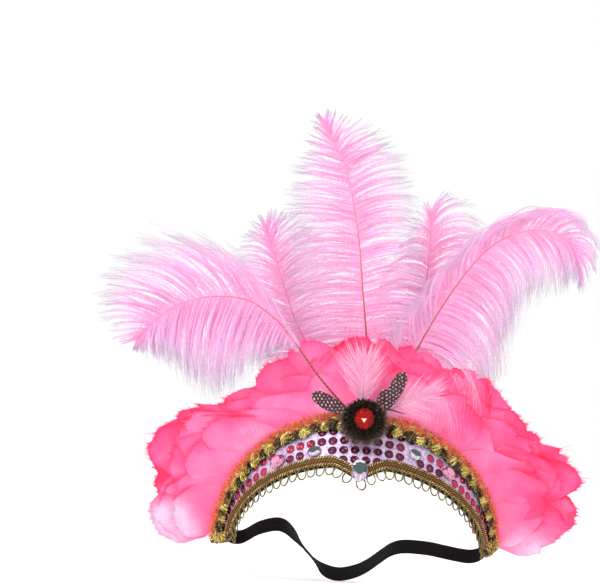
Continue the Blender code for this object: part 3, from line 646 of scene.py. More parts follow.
# Stones: clear cut acrylic with a silvered back, glued on. The middle one is a tall oval at
# the band's point, the four others lie along the fabric, the outer two with a rosy tint.
STONE_SIDES, STONE_LIFT = 16, 0.3 * MM
STONE_RINGS = [  # radius, rise, turn in sides
    (0.80, 0.0, 0.5), (1.0, 0.22, 0.5), (1.0, 0.34, 0.5), (0.84, 0.68, 0.0), (0.56, 1.0, 0.5)]


def stone_shape(centre, first, second, up, length, width, height, sides):
    """Elliptic rings from the back to the table, every second one turned by half a side,
    which gives the kite and star facets. Returns points and faces."""
    side = np.arange(sides)
    first, second = first * length / 2, second * width / 2
    points = [centre + spokes((side + shift) * math.tau / sides, first, second) * radius + up * height * rise
              for radius, rise, shift in STONE_RINGS]
    here = [side + level * sides for level in range(5)]
    after = [(side + 1) % sides + level * sides for level in range(5)]
    facets = [(here[0], after[0], after[1], here[1]), (here[1], after[1], after[2], here[2]),
              (here[2], after[3], here[3]), (here[2], after[2], after[3]),
              (here[3], after[3], here[4]), (here[4], after[3], after[4])]
    caps = [side[None, ::-1], here[4][None]]
    return np.concatenate(points), [np.stack(corners, -1) for corners in facets] + caps


def faceted_piece(name, shape, painted_facet_light, finish, slot, node):
    """Every facet gets points of its own and its own shade number on the map, which stands
    for a painted reflection. These painted shades are given for each group of faces as a
    function of the facet's angle round the stone."""
    points, faces = shape
    sides = len(points) // len(STONE_RINGS)
    turn = np.exp(1j * math.tau * (np.arange(len(points)) % sides / sides))
    shade = np.concatenate([np.repeat(dye(np.angle(turn[part].mean(1))), part.shape[1])
                            for part, dye in zip(faces, painted_facet_light)]).clip(0, 1)
    numbers = np.split(np.arange(len(shade)), np.cumsum([part.size for part in faces])[:-1])
    return new_piece(name, points[np.concatenate([part.ravel() for part in faces])],
                     [own.reshape(part.shape) for own, part in zip(numbers, faces)], finish, slot, [node],
                     own_map(shade, shade), flat=True)


def stone_painted_reflections(table, low_light, rim, crescent):
    """Painted reflections of a clear stone, a shade number for each group of facets: a pale
    rim painted as a highlight on the upper side, tinted facets below painted as a reflection
    of the fabric, a table painted dark, and a small chance for every facet to flash or go
    dark. The crescent is a painted highlight that lightens the facets at the upper end."""
    def below(a):
        return np.clip(-np.sin(a), 0, 1)

    def any_share(a, spread):
        return stone_chance.normal(0, spread, len(a))

    return [lambda a: rim - 0.35 * below(a) + any_share(a, 0.06),
            lambda a: rim - 0.30 * below(a) + any_share(a, 0.10),
            lambda a: (0.30 + low_light * below(a) + 0.55 * (np.cos(a - 2.3) > 0.8)
                       + crescent * (np.sin(a) > 0.5) + any_share(a, 0.10)),
            lambda a: 0.22 + low_light * below(a) + crescent * (np.sin(a) > 0.7) + any_share(a, 0.12),
            lambda a: (0.20 + low_light * 1.2 * (np.sin(a) < -0.3) + crescent * (np.sin(a) > 0.5)
                       + any_share(a, 0.08)),
            lambda a: (0.16 + low_light * (np.sin(a) < -0.5) + crescent * (np.sin(a) > 0.8)
                       + any_share(a, 0.05)),
            lambda a: 0.5 + 0 * a, lambda a: table + 0 * a]


# The stops of both stone finishes are painted reflections, from dark facets to white highlights.
clear = Finish("clear_stone", [(0, 0.015, 0.022, 0.022), (0.2, 0.055, 0.085, 0.085), (0.4, 0.22, 0.24, 0.26),
                               (0.6, 0.5, 0.34, 0.48), (0.8, 0.76, 0.68, 0.8), (1, 1, 1, 1)],
               Roughness=0.08, Metallic=0.15, Specular_IOR_Level=0.45)
rosy = Finish("rosy_stone", [(0, 0.1, 0.01, 0.03), (0.3, 0.3, 0.05, 0.12), (0.6, 0.7, 0.28, 0.44),
                             (0.85, 0.9, 0.62, 0.76), (1, 1, 0.95, 1)],
              Roughness=0.08, Metallic=0.15, Specular_IOR_Level=0.45)
stone_chance = np.random.default_rng(3)
for name, angle, across, length, width, height in STONES:
    middle_one, outer_one = name == "stone_middle", "outer" in name
    phi = np.array(math.radians(angle))
    _, _, up, out = band_frame(phi)
    centre = on_band(phi, across * MM, TRIM_HEIGHT + STONE_LIFT + GIMP_THICKNESS * middle_one)
    shape = stone_shape(centre, np.cross(up, out), up, out, length * MM, width * MM, height * MM, STONE_SIDES)
    painted_facet_light = stone_painted_reflections(0.62, 0.30, 0.80, 0.0) if outer_one else stone_painted_reflections(0.20, 0.42, 0.92, 0.8 * middle_one)
    faceted_piece(name.replace("stone", "cut_stone"), shape, painted_facet_light, rosy if outer_one else clear,
                  "clear_stone", name)


# Rosette and jewel: a small round of dark fur-like down stands before the braid over the
# middle of the band, and a red cut jewel is glued in its dished face.
ROSETTE_CENTRE = np.array([0.7, -70.6, 97.8]) * MM
ROSETTE_RADIUS, ROSETTE_DEPTH, ROSETTE_TILT = 16.5 * MM, 8.0 * MM, math.radians(6)
ROSETTE_PROFILE = [(0.50, 0.02), (0.78, 0.04), (0.86, 0.4), (0.74, 0.78), (0.52, 0.85), (0.30, 0.74)]
ROSETTE_SIDES, FUR_HAIRS, DOWN_HAIRS = 48, 5200, 2200
FUR_ROOTS, FUR_WIDTH, DOWN_WIDTH = (0.42, 0.84), 0.40 * MM, 0.26 * MM
JEWEL_RADIUS, JEWEL_HEIGHT, JEWEL_SIDES = 7.6 * MM, 5.2 * MM, 12
FLASH_CORNERS, FLASH_LIFT = [(-0.27, -0.018), (0.27, -0.018), (0.0, -0.414)], 0.05 * MM
DOWNWARDS = np.array([0, 0, -1.0])

rosette_out = np.array([0, -math.cos(ROSETTE_TILT), math.sin(ROSETTE_TILT)])
rosette_up = np.array([0, math.sin(ROSETTE_TILT), math.cos(ROSETTE_TILT)])
rosette_right = np.array([1.0, 0, 0])
draw = np.random.default_rng(8)


def round_point(turn, reach, depth):
    """A point of the rosette at an angle, a distance from its middle and a depth."""
    spoke = spokes(turn, rosette_right, rosette_up)
    return ROSETTE_CENTRE + spoke * column(reach) + rosette_out * column(depth)


fur = Finish("brown_fur", [(0, 0.004, 0.003, 0.003), (0.55, 0.022, 0.014, 0.01), (0.85, 0.07, 0.045, 0.03),
                           (0.95, 0.13, 0.1, 0.08), (1, 0.34, 0.3, 0.25)],
             Roughness=0.8, Specular_IOR_Level=0.2)
radius, rise = np.array(ROSETTE_PROFILE).T[:, :, None]
rings = round_point(rounds(ROSETTE_SIDES), ROSETTE_RADIUS * radius, ROSETTE_DEPTH * rise)
tube_piece("rosette_core", rings, fur, "brown_fur", ["fur_rosette"],
           own_map(0.0, np.full(rings.shape[:2], 0.3)))
turn = draw.uniform(0, math.tau, FUR_HAIRS)
share = draw.uniform(*FUR_ROOTS, FUR_HAIRS)
start = round_point(turn, ROSETTE_RADIUS * share,
                    ROSETTE_DEPTH * np.interp(share, [0.3, 0.52, 0.74, 0.86], [0.72, 0.82, 0.74, 0.3]))
heading = unit(spokes(turn, rosette_right, rosette_up) * column(np.interp(share, FUR_ROOTS, [-0.1, 1.4]))
               + rosette_out * 0.8 + draw.normal(0, 0.38, (FUR_HAIRS, 3)))
hair_piece("rosette_fur", start, heading, draw.uniform(1.6, 5.4, FUR_HAIRS) * MM, FUR_WIDTH, DOWNWARDS,
           draw.uniform(0, 0.3, FUR_HAIRS), fur, "brown_fur")

down_dye = Finish("brown_down", [(0, 0.05, 0.025, 0.018), (0.6, 0.14, 0.075, 0.05), (1, 0.34, 0.2, 0.15)],
                  Roughness=0.9, Sheen_Weight=0.4)
turn = np.concatenate([draw.normal(math.radians(middle), spread, DOWN_HAIRS // 2)
                       for middle, spread in ((-150, 0.5), (-20, 0.6))])
start = round_point(turn, ROSETTE_RADIUS * draw.uniform(0.7, 0.9, DOWN_HAIRS),
                    ROSETTE_DEPTH * draw.uniform(0.1, 0.5, DOWN_HAIRS))
heading = unit(unit(start - ROSETTE_CENTRE) + draw.normal(0, 0.35, (DOWN_HAIRS, 3)))
hair_piece("rosette_down", start, heading, draw.uniform(3.5, 8.0, DOWN_HAIRS) * MM, DOWN_WIDTH, DOWNWARDS,
           draw.uniform(0, 0.4, DOWN_HAIRS), down_dye, "brown_fur", 4)

ruby = Finish("red_jewel", [(0, 0.03, 0.001, 0.001), (0.3, 0.12, 0.001, 0.002), (0.6, 0.28, 0.002, 0.002),
                            (0.82, 0.5, 0.01, 0.007), (0.93, 1, 0.36, 0.24), (1, 1, 0.85, 0.75)],
              Roughness=0.12, Specular_IOR_Level=0.15)
centre = ROSETTE_CENTRE + rosette_out * (ROSETTE_DEPTH * 0.95 + STONE_LIFT)
shape = stone_shape(centre, rosette_right, rosette_up, rosette_out, 2 * JEWEL_RADIUS, 2.2 * JEWEL_RADIUS,
                    JEWEL_HEIGHT, JEWEL_SIDES)
# Painted reflections: each group of facets gets its own level of red, from dark to bright, and the table the
# brightest red.
painted_facet_light = [lambda a, level=level: level + stone_chance.normal(0, 0.15, len(a))
        for level in (0.14, 0.19, 0.29, 0.44, 0.39, 0.56, 0.34)]
faceted_piece("cut_jewel", shape, painted_facet_light + [lambda a: 0.62 + 0 * a], ruby, "red_jewel", "red_jewel")
# The flash is a painted highlight: a pale triangle laid just over the jewel's face, below its middle.
corners = np.array(FLASH_CORNERS) * JEWEL_RADIUS
flash = (centre + rosette_right * corners[:, :1] + rosette_up * (corners[:, 1:] - FLASH_LIFT)
         + rosette_out * (JEWEL_HEIGHT + FLASH_LIFT))
new_piece("jewel_flash", flash, [np.array([[2, 1, 0]])], ruby, "red_jewel", (), np.full((3, 2), 0.97),
          flat=True)


# Ostrich plumes: three in front, over and behind the ruff, and two shorter ones further
# back. Thin barbs leave the quill on both sides; their fluff knits them into a web near the
# quill, and further out they part into tapering strands that droop.
PLUMES = {  # rows of x, y, z, left barbs, right barbs, in millimetres
    "plume_middle": [
        (0.0, -37, 88, 0, 0), (-0.5, -26, 122, 42, 42), (-1.1, -16, 155, 56, 54), (-3.0, -11, 172, 66, 62),
        (-7.3, -5, 201, 66, 60), (-11.6, 0, 231, 62, 52), (-18.2, 3, 260, 54, 54), (-26.0, 4, 286, 37, 44),
        (-34.5, 3, 302, 23, 26), (-43.5, 1, 316, 12, 12)],
    "plume_right": [
        (-6, -52.5, 103, 0, 0), (-13.4, -55, 106, 0, 0), (-33.6, -57, 126, 0, 2), (-47.6, -57, 143, 3, 8),
        (-58.3, -56, 156, 10, 24), (-70.4, -54, 168, 40, 70), (-91.5, -50, 180, 74, 88),
        (-116.4, -46, 181, 72, 78), (-138.6, -43, 175, 52, 66), (-158, -41, 162, 30, 46),
        (-170, -40, 146, 10, 14)],
    "plume_left": [
        (7, -43, 85, 0, 0), (14, -34, 102, 0, 0), (22, -28, 122, 34, 64), (36, -20, 150, 46, 78),
        (52.6, -13, 183, 50, 80), (72.9, -8, 216, 50, 66), (91.7, -6, 236, 52, 60), (112.2, -6, 246, 52, 56),
        (131, -8, 247, 42, 46), (146, -9, 240, 32, 36), (153, -10, 228, 22, 26)],
    "plume_back_right": [
        (-6, -31, 88, 0, 0), (-24, -14, 120, 38, 36), (-51, 2, 160, 52, 48), (-64.4, 11, 190, 44, 52),
        (-73.7, 15, 215, 30, 40), (-82, 16, 236, 12, 14)],
    "plume_back_left": [
        (10, -31, 90, 0, 0), (22, -14, 120, 38, 38), (35, 2, 160, 50, 52), (40.4, 12, 197, 46, 58),
        (42, 17, 227, 28, 66), (41.5, 18, 255, 12, 20)],
}
PLUME_STATIONS = [0, 0.5, 0.88, 1]
PLUME_SHAPES = {  # the left side's share of the barbs, then for the left and the right side at
    # these stations: angles at which barbs leave and end in the front view, and how tightly
    # they draw together into strands
    "plume_middle": (
        0.5, [(188, 214), (175, 203), (163, 180), (118, 124)], [(0, -50), (28, -36), (44, 16), (96, 90)],
        (0.12, 0.5, 0.88, 0.9), (0.12, 0.45, 0.9, 0.9)),
    "plume_right": (
        0.66, [(236, 266), (250, 280), (254, 290), (236, 240)],
        [(106, 124), (126, 186), (160, 190), (205, 210)], (0.1, 0.2, 0.55, 0.9), (0.75, 0.9, 0.92, 0.9)),
    "plume_left": (
        0.37, [(130, 96), (106, 20), (62, -80), (-40, -90)], [(2, -98), (-12, -98), (-40, -98), (-70, -95)],
        (0.2, 0.6, 0.8, 0.8), (0.1, 0.2, 0.55, 0.8)),
    "plume_back_right": (
        0.5, [(185, 215), (165, 198), (140, 190), (110, 120)], [(10, -40), (30, -10), (60, 20), (90, 80)],
        (0.12, 0.5, 0.9, 0.9), (0.12, 0.5, 0.9, 0.9)),
    "plume_back_left": (
        0.45, [(180, 230), (160, 235), (150, 225), (100, 95)], [(10, -50), (36, -72), (58, -70), (80, 50)],
        (0.12, 0.5, 0.9, 0.9), (0.12, 0.6, 0.9, 0.9)),
}
FRONT_BARBS, BACK_BARBS = 2400, 1700
FRONT_FLUFFS, BACK_FLUFFS = 24, 20
PLUME_FLUFF, FLUFF_FOOT = 2.3 * MM, 0.27 * MM
PLUME_PATH = 300
BARB_STATIONS, BARB_WIDTH, FIRST_BARB, LAST_BARB = 11, 0.36 * MM, 4 * MM, 0.998
GROUP_LIFT, GROUP_TURN, GROUP_SWAY = 0.20, 0.12, 0.13
OWN_LIFT, OWN_TURN, OWN_SWAY = 0.10, 0.10, 0.04
QUILL_RADIUS, QUILL_SIDES = 0.85 * MM, 8


def smooth_path(rows, count):
    """Even steps along a smooth curve through the rows, by Catmull-Rom spans."""
    rows = np.asarray(rows, dtype=float)
    padded = np.vstack([2 * rows[0] - rows[1], rows, 2 * rows[-1] - rows[-2]])
    before, start, end, after = (padded[n:len(padded) - 3 + n, None] for n in range(4))
    t = np.linspace(0, 1, 24, endpoint=False)[:, None]
    dense = 0.5 * (2 * start + (end - before) * t + (2 * before - 5 * start + 4 * end - after) * t ** 2
                   + (3 * start - before - 3 * end + after) * t ** 3)
    dense = np.vstack([dense.reshape(-1, rows.shape[1]), rows[-1]])
    run = run_along(dense[:, :3])
    wanted = np.linspace(0, run[-1], count)
    return np.column_stack([np.interp(wanted, run, values) for values in dense.T])


def barb_curves(place, on_left, path, first, sides, turned, lift, wave):
    """Points of barbs along their length. A barb leaves the quill at one angle of the front
    view and turns steadily to another, and the steps along it are added up. turned adds to
    its last angle, lift tips it forwards or back, and wave makes it sway."""
    *base, left, right = (np.interp(place, np.linspace(0, 1, PLUME_PATH), values) for values in path.T)
    along = np.clip((place - first) / (1 - first), 0, 1)
    angles = [[np.interp(along, PLUME_STATIONS, ends) for ends in zip(*side)] for side in sides]
    start, end = np.radians(np.where(on_left, *angles))
    step = 1 / (BARB_STATIONS - 1)
    middle = BARB_SHARE[1:] - step / 2
    heading = start[:, None] + (end + turned - start)[:, None] * middle ** 1.15
    heading = heading + wave[:, :1] * np.sin(middle * wave[:, 1:2] + wave[:, 2:3])
    steps = unit(np.stack([np.cos(heading), lift[:, None] * (0.4 + 1.2 * middle), np.sin(heading)], -1))
    steps = np.concatenate([0 * steps[:, :1], np.cumsum(steps, axis=1)], axis=1)
    return np.column_stack(base)[:, None] + steps * (step * np.where(on_left, left, right))[:, None, None]


def feather_piece(name, rows, shape, barbs, fluff, fluffs, group_size, width, ragged, finish, slot, node):
    """Barbs as flat tapering ribbons, with fluff as small triangles along both edges.

    The barbs of a group come together towards their tips, and the groups differ in length,
    turn and dye. Returns the quill's path.
    """
    left_share, sides, tightness = shape[0], shape[1:3], shape[3:]
    path = smooth_path(rows, PLUME_PATH) * MM
    first = np.argmax(path[:, 3] > FIRST_BARB) / PLUME_PATH
    place = np.sort(draw.uniform(first, LAST_BARB, barbs))
    on_left = draw.random(barbs) < left_share
    group = np.where(on_left, np.cumsum(on_left), np.cumsum(~on_left)) // group_size * 2 + on_left
    groups = group.max() + 1
    group_place = np.bincount(group, place, groups) / np.maximum(np.bincount(group, minlength=groups), 1)
    group_lift = draw.normal(0, GROUP_LIFT, groups)
    group_length = draw.uniform(1 - 1.6 * ragged, 1 + 0.6 * ragged, groups)
    group_turn, group_dye = draw.normal(0, GROUP_TURN, groups), draw.uniform(0.1, 0.9, groups)
    group_wave = np.stack([draw.normal(0, GROUP_SWAY, groups), draw.uniform(5, 9, groups),
                           draw.uniform(0, math.tau, groups)], -1)[group]
    along_quill = np.clip((place - first) / (1 - first), 0, 1)
    tight = np.where(on_left, *(np.interp(along_quill, PLUME_STATIONS, values) for values in tightness))
    own_wave = group_wave * np.stack([tight, 1 + 0 * tight, 1 + 0 * tight], -1)
    own_wave = own_wave + draw.normal(0, OWN_SWAY, (barbs, 3))
    own = barb_curves(place, on_left, path, first, sides,
                      group_turn[group] * tight + draw.normal(0, OWN_TURN, barbs),
                      group_lift[group] + draw.normal(0, OWN_LIFT, barbs), own_wave)
    shared = barb_curves(np.clip(group_place[group], first, 1), on_left, path, first, sides,
                         group_turn[group], group_lift[group], group_wave)
    together = tight[:, None, None] * BARB_SHARE[:, None] ** 2.1
    curve = own * (1 - together) + shared * together
    length = group_length[group] * draw.uniform(1 - 1.4 * ragged, 1.04, barbs)
    curve = curve[:, :1] + (curve - curve[:, :1]) * length[:, None, None]
    along, front = unit(np.gradient(curve, axis=1)), np.array([0, -1.0, 0])
    roll = draw.normal(0, 0.5, barbs)[:, None, None]
    side = unit(unit(np.cross(along, front)) * np.cos(roll) + front * np.sin(roll))
    taper = ((1 - BARB_SHARE) ** 1.3 * 0.75 + 0.25)[:, None] * width / 2
    shafts = np.stack([curve - side * taper, curve + side * taper], 2)
    dye = np.clip(group_dye[group] + draw.normal(0, 0.08, barbs), 0, 1)

    at = np.sort(draw.uniform(0.0, 0.985, (barbs, fluffs)) ** 1.12, axis=1)
    index = np.clip(at * (BARB_STATIONS - 1), 0, BARB_STATIONS - 1.001)
    low, part, barb = index.astype(int), column(index % 1), np.arange(barbs)[:, None]
    root = curve[barb, low] * (1 - part) + curve[barb, low + 1] * part
    onward = along[barb, low]
    outward = side[barb, low] * column(np.where(np.arange(fluffs) % 2, 1.0, -1.0))
    heading = unit(onward * column(draw.uniform(0.5, 1.2, at.shape)) + outward
                   + draw.normal(0, 0.28, at.shape + (3,)))
    size = column(fluff * (1 - 0.84 * at) * draw.uniform(0.6, 1.25, at.shape))
    foot = onward * column(FLUFF_FOOT * (1 - 0.6 * at))
    tufts = np.stack([root - foot, root + foot, root + heading * size], 2)
    tuft_faces = np.arange(tufts.size // 3).reshape(-1, 3) + shafts.size // 3
    threads = [share_map(BARB_STATIONS, 2, dye), own_map(column(at), dye[:, None, None] + np.zeros(3))]
    new_piece(name, np.concatenate([shafts.reshape(-1, 3), tufts.reshape(-1, 3)]),
              ribbon_faces(shafts) + [tuft_faces], finish, slot, [node],
              np.concatenate([threads[0].reshape(-1, 2), threads[1].reshape(-1, 2)]))
    return path[:, :3]


def quill_piece(name, path, radius, tip_share, finish, slot, replaced=()):
    """A round quill along a path, which tapers to a share of its radius."""
    share, turn = np.linspace(0, 1, len(path)), rounds(QUILL_SIDES)
    along = unit(np.gradient(path, axis=0))
    side = unit(np.cross(along, [0, 1, 0]))
    reach = radius * (1 - (1 - tip_share) * share)
    rings = path[:, None] + spokes(turn, side, np.cross(along, side)) * reach[:, None, None]
    tube_piece(name, rings, finish, slot, replaced, own_map(share[:, None], turn))


BARB_SHARE = np.linspace(0, 1, BARB_STATIONS)
# Painted light: a faint glow in the plume's own colour lifts the shade between the barbs, and the barbs fade
# to lilac-grey towards their tips as painted shade.
plume_dye = Finish("ostrich_plume", Roughness=0.7, Sheen_Weight=0.15, Specular_IOR_Level=0.15,
                   Emission_Strength=0.05)
pale = plume_dye.ramp(plume_dye.map(0), (0, 0.96, 0.44, 0.71), (0.45, 0.88, 0.5, 0.78),
                      (0.72, 0.74, 0.47, 0.7), (1, 0.44, 0.36, 0.48))
deep = plume_dye.ramp(plume_dye.map(0), (0, 0.96, 0.35, 0.62), (0.6, 0.87, 0.41, 0.69),
                      (0.85, 0.63, 0.38, 0.58), (1, 0.35, 0.27, 0.36))
plume_colour = plume_dye.mix(plume_dye.map(1).between(0.35, 0.95), pale, deep)
plume_dye.paint(Base_Color=plume_colour, Emission_Color=plume_colour)
quill_dye = Finish("plume_quill", Roughness=0.5, Specular_IOR_Level=0.3)
knots = (quill_dye.map(0) * 420).wave() * (1 - quill_dye.map(0).between(0.25, 0.42))
quill_ground = quill_dye.ramp(quill_dye.map(0), (0, 0.36, 0.1, 0.07), (0.35, 0.44, 0.11, 0.09),
                              (0.6, 0.6, 0.19, 0.21), (0.85, 0.7, 0.33, 0.43), (1, 0.66, 0.4, 0.54))
quill_dye.paint(Base_Color=quill_dye.mix(knots * 0.75, quill_ground, (0.10, 0.025, 0.02)))
draw = np.random.default_rng(31)
for name, rows in PLUMES.items():
    barbs, fluffs = (BACK_BARBS, BACK_FLUFFS) if "back" in name else (FRONT_BARBS, FRONT_FLUFFS)
    path = feather_piece("ostrich_" + name, rows, PLUME_SHAPES[name], barbs, PLUME_FLUFF, fluffs, 8,
                         BARB_WIDTH, 0.1, plume_dye, "ostrich_plume", name)
    quill_piece("quill_of_" + name, path[::2], QUILL_RADIUS, 0.3, quill_dye, "ostrich_plume")


# Hackle puffs: two small pale feathers whose fine barbs fan out beside the rosette, tied in
# with the plumes.
HACKLES = {  # rows and shapes, as for the plumes
    "hackle_puff_middle": (
        [(-1, -57, 108, 0, 0), (-1, -58, 113, 16, 14), (-1, -59, 120, 30, 26), (-0.5, -60, 132, 30, 26),
         (0, -61, 142, 16, 14)],
        [(158, 132), (140, 122), (120, 104), (100, 95)], [(28, 52), (42, 60), (66, 78), (85, 88)]),
    "hackle_puff_left": (
        [(12, -57, 102, 0, 0), (19, -58, 106, 16, 12), (27, -59, 110, 26, 20), (38, -60, 115, 28, 22),
         (49, -61, 119, 16, 16)],
        [(86, 60), (70, 46), (40, 28), (25, 20)], [(-52, -24), (-30, -12), (-2, 8), (15, 18)]),
}
HACKLE_TIGHT = (0.4, 0.5, 0.6, 0.6)
HACKLE_BARBS, HACKLE_FLUFFS = 800, 12
HACKLE_BARB_WIDTH, HACKLE_FLUFF, HACKLE_QUILL_RADIUS = 0.3 * MM, 1.1 * MM, 0.22 * MM
hackle_dye = Finish("pale_hackle", Roughness=0.7, Sheen_Weight=0.2, Specular_IOR_Level=0.15)
hackle_dye.paint(Base_Color=hackle_dye.mix(hackle_dye.map(1), (0.97, 0.56, 0.76), (0.97, 0.38, 0.60)))
for name, (rows, *sides) in HACKLES.items():
    path = feather_piece("fine_" + name, rows, (0.5, *sides, HACKLE_TIGHT, HACKLE_TIGHT), HACKLE_BARBS,
                         HACKLE_FLUFF, HACKLE_FLUFFS, 4, HACKLE_BARB_WIDTH, 0.32, hackle_dye,
                         "pale_hackle", name)
    quill_piece("quill_of_" + name, path[::6], HACKLE_QUILL_RADIUS, 0.4, quill_dye, "pale_hackle")


# Guinea feathers: three small dark oval feathers with rows of white dots, fixed by their
# roots behind the rosette, and one bare quill that points to the side.
GUINEAS = [  # name, root and tip in x, y and z, and width, in millimetres
    ("guinea_feather_right", (-9, -62.5, 100), (-39, -63.5, 114.5), 11.5),
    ("guinea_feather_left_long", (15, -63.5, 104), (28.5, -64.5, 135), 11.0),
    ("guinea_feather_left_short", (9, -62.5, 106), (16.5, -61.8, 121), 7.5),
]
GUINEA_OUTLINE = [0, 0.3, 0.62, 0.88, 0.97, 1.0], [0.18, 0.75, 1.0, 0.8, 0.42, 0.06]
DOT_ROWS, DOT_COLUMNS, GUINEA_THICKNESS = 2.5 * MM, 2.7 * MM, 0.3 * MM
BARE_QUILL, BARE_QUILL_RADIUS = [(17.5, -66.4, 107), (24, -67.0, 105.6), (31, -67.2, 104)], 0.7 * MM
guinea = Finish("guinea_feather", Roughness=0.7, Sheen_Weight=0.05, Specular_IOR_Level=0.15)
shake = guinea.noise(420, 1)
dot_row = guinea.map(0) / DOT_ROWS + shake * 1.1
odd_row = (dot_row % 2.0) > 1.0
dot_column = guinea.map(1) / DOT_COLUMNS + odd_row * 0.5 + shake * 0.9
dot_distance = (((dot_row % 1.0) - 0.5) ** 2.0 + ((dot_column % 1.0) - 0.5) ** 2.0) ** 0.5
barb_lines = (guinea.map(0) - abs(guinea.map(1)) * 0.9).wave(0.7 * MM)
guinea_ground = guinea.mix(barb_lines, (0.035, 0.014, 0.016), (0.13, 0.055, 0.06))
guinea.paint(Base_Color=guinea.mix(dot_distance.between(0.10, 0.26), (0.70, 0.55, 0.58), guinea_ground),
             Normal=guinea.bump(barb_lines, 0.15 * MM, 0.7))
share, place = np.linspace(0, 1, 33)[:, None], np.linspace(-1, 1, 17)
for name, root, tip, width in GUINEAS:
    root, tip = np.array(root) * MM, np.array(tip) * MM
    aside = place * np.interp(share, *GUINEA_OUTLINE)
    back = 1.2 * MM * aside ** 2 - 0.5 * MM * (1 - np.abs(place)) ** 6
    side = unit(np.cross(tip - root, [0, -1, 0]))
    vane = (root + (tip - root) * column(share) + side * column(aside * width / 2 * MM)
            + np.array([0, 1.0, 0]) * column(back))
    threads = own_map(share * np.linalg.norm(tip - root), aside * width / 2 * MM)
    spotted = new_piece("spotted_" + name, vane, grid_faces(*vane.shape[:2]), guinea, "guinea_feather",
                        [name], threads)
    wall = spotted.modifiers.new("thickness", "SOLIDIFY")
    wall.thickness = GUINEA_THICKNESS
    wall.offset = 0

horn = Finish("bare_quill", Roughness=0.4)
horn.paint(Base_Color=horn.ramp(horn.map(0), (0, 0.03, 0.012, 0.012), (0.7, 0.12, 0.03, 0.05),
                                (1, 0.3, 0.09, 0.12)))
quill_piece("bare_quill_stub", smooth_path(BARE_QUILL, 24) * MM, BARE_QUILL_RADIUS, 0.5, horn,
            "guinea_feather", ["bare_quill"])


# Ruff: broad soft feathers glued by their roots behind the felt's upper edge, in three layers
# that flare outwards like petals. Each petal is a pair of satin webs that overlap, curl at
# the rim and fray there into fine hairs.
RUFF = [  # angle phi of the root in degrees, and reach in x, y and z in millimetres
    (-90, -40, 4, -16), (-75, -62, 6, -9), (-60, -71, 8, 1), (-47, -83, 9, 9), (-36, -83, 10, 19),
    (-27, -70, 11, 13), (-18, -62, 12, 30), (-9, -45, 12, 53), (0, -12, 12, 61), (9, 7, 12, 64),
    (18, 23.5, 12, 62), (27, 40, 11, 54), (36, 51, 10, 36), (47, 67, 9, 21), (60, 82, 8, 17),
    (75, 74, 6, -1), (90, 44, 4, -28)]
RUFF_LAYERS = [  # name, feathers, outermost angle, share of the reach, depth, width
    ("front", 7, 70, 0.66, 1.4, 50), ("middle", 8, 73, 0.85, 5.6, 54), ("back", 9, 80, 1.0, 9.8, 56)]
RUFF_ROOT_MARGIN, RUFF_CLEARANCE = 8 * MM, 2.6 * MM
RISING, FLARE_START, FLARE_SOFTNESS, REACH_SOFTNESS = 0.05, 0.12, 0.03, 2.6
COLLAR_LIMIT, PETAL_LIMIT, STEP_AHEAD = 1.72, 1.32, 0.02
VANE_ROWS, VANE_COLUMNS = 26, 32
PALE_TOP, PALE_REACH = 33 * MM, 20 * MM
RIM_HAIRS, RIM_HAIR_WIDTH, RIM_HAIR_POINTS, STRAY_HAIRS = 520, 0.3 * MM, 6, 0.985
LONG_HAIRS_TOP, LONG_HAIRS_REACH = 8 * MM, 16 * MM

reach_angles, *reach_columns = np.array(RUFF).T
fine_angles = np.linspace(-110, 110, 441)  # half a degree apart, like the weights
soft_weights = np.exp(-0.5 * (np.linspace(-12, 12, 49) / REACH_SOFTNESS) ** 2)
soft_weights /= soft_weights.sum()
fine_reach = [np.pad(np.interp(fine_angles, reach_angles, values), 24, "edge") for values in reach_columns]
fine_reach = [np.convolve(values, soft_weights, "valid") for values in fine_reach]


def collar_point(phi, outward, depth):
    """The ruff's collar: outward is 0 at the roots and 1 at the rim. It first rises over the
    felt's edge, then flares along a reach that changes smoothly with the angle."""
    aim = np.stack([np.interp(np.degrees(phi), fine_angles, values) for values in fine_reach], -1) * MM
    _, width, across, out = band_frame(np.clip(phi, -COLLAR_LIMIT, COLLAR_LIMIT))
    flare = np.maximum(0, np.sum(unit(aim) * out, -1))
    rise = RUFF_ROOT_MARGIN + RUFF_CLEARANCE + (depth - FELT_THICKNESS) * flare
    root = on_band(phi, width - RUFF_ROOT_MARGIN, -depth)
    rising = 1 - np.exp(-np.maximum(outward, 0) / RISING)
    flaring = FLARE_SOFTNESS * np.log1p(np.exp((outward - FLARE_START) / FLARE_SOFTNESS)) / (1 - FLARE_START)
    return root + across * column(rise * rising) + aim * column(flaring)


def ruff_habit():
    """The random shape of one feather: its length, lean, folds, curl and rim."""
    return {"length": draw.uniform(0.96, 1.04), "lean": draw.normal(0, 0.04),
            "tilt": draw.uniform(0.5, 1.5) * draw.choice([-1, 1]), "curl": draw.uniform(-5.0, 3.0),
            "fold": draw.uniform(1.0, 2.6), "folds": draw.uniform(2.2, 4.2),
            "crease": draw.uniform(0.15, 0.5), "creases": draw.uniform(6, 11),
            "phase": draw.uniform(0, math.tau, 6), "rim": draw.uniform(0.006, 0.022),
            "notch": draw.uniform(-0.8, 0.8), "depth": draw.uniform(0.0, 0.07)}


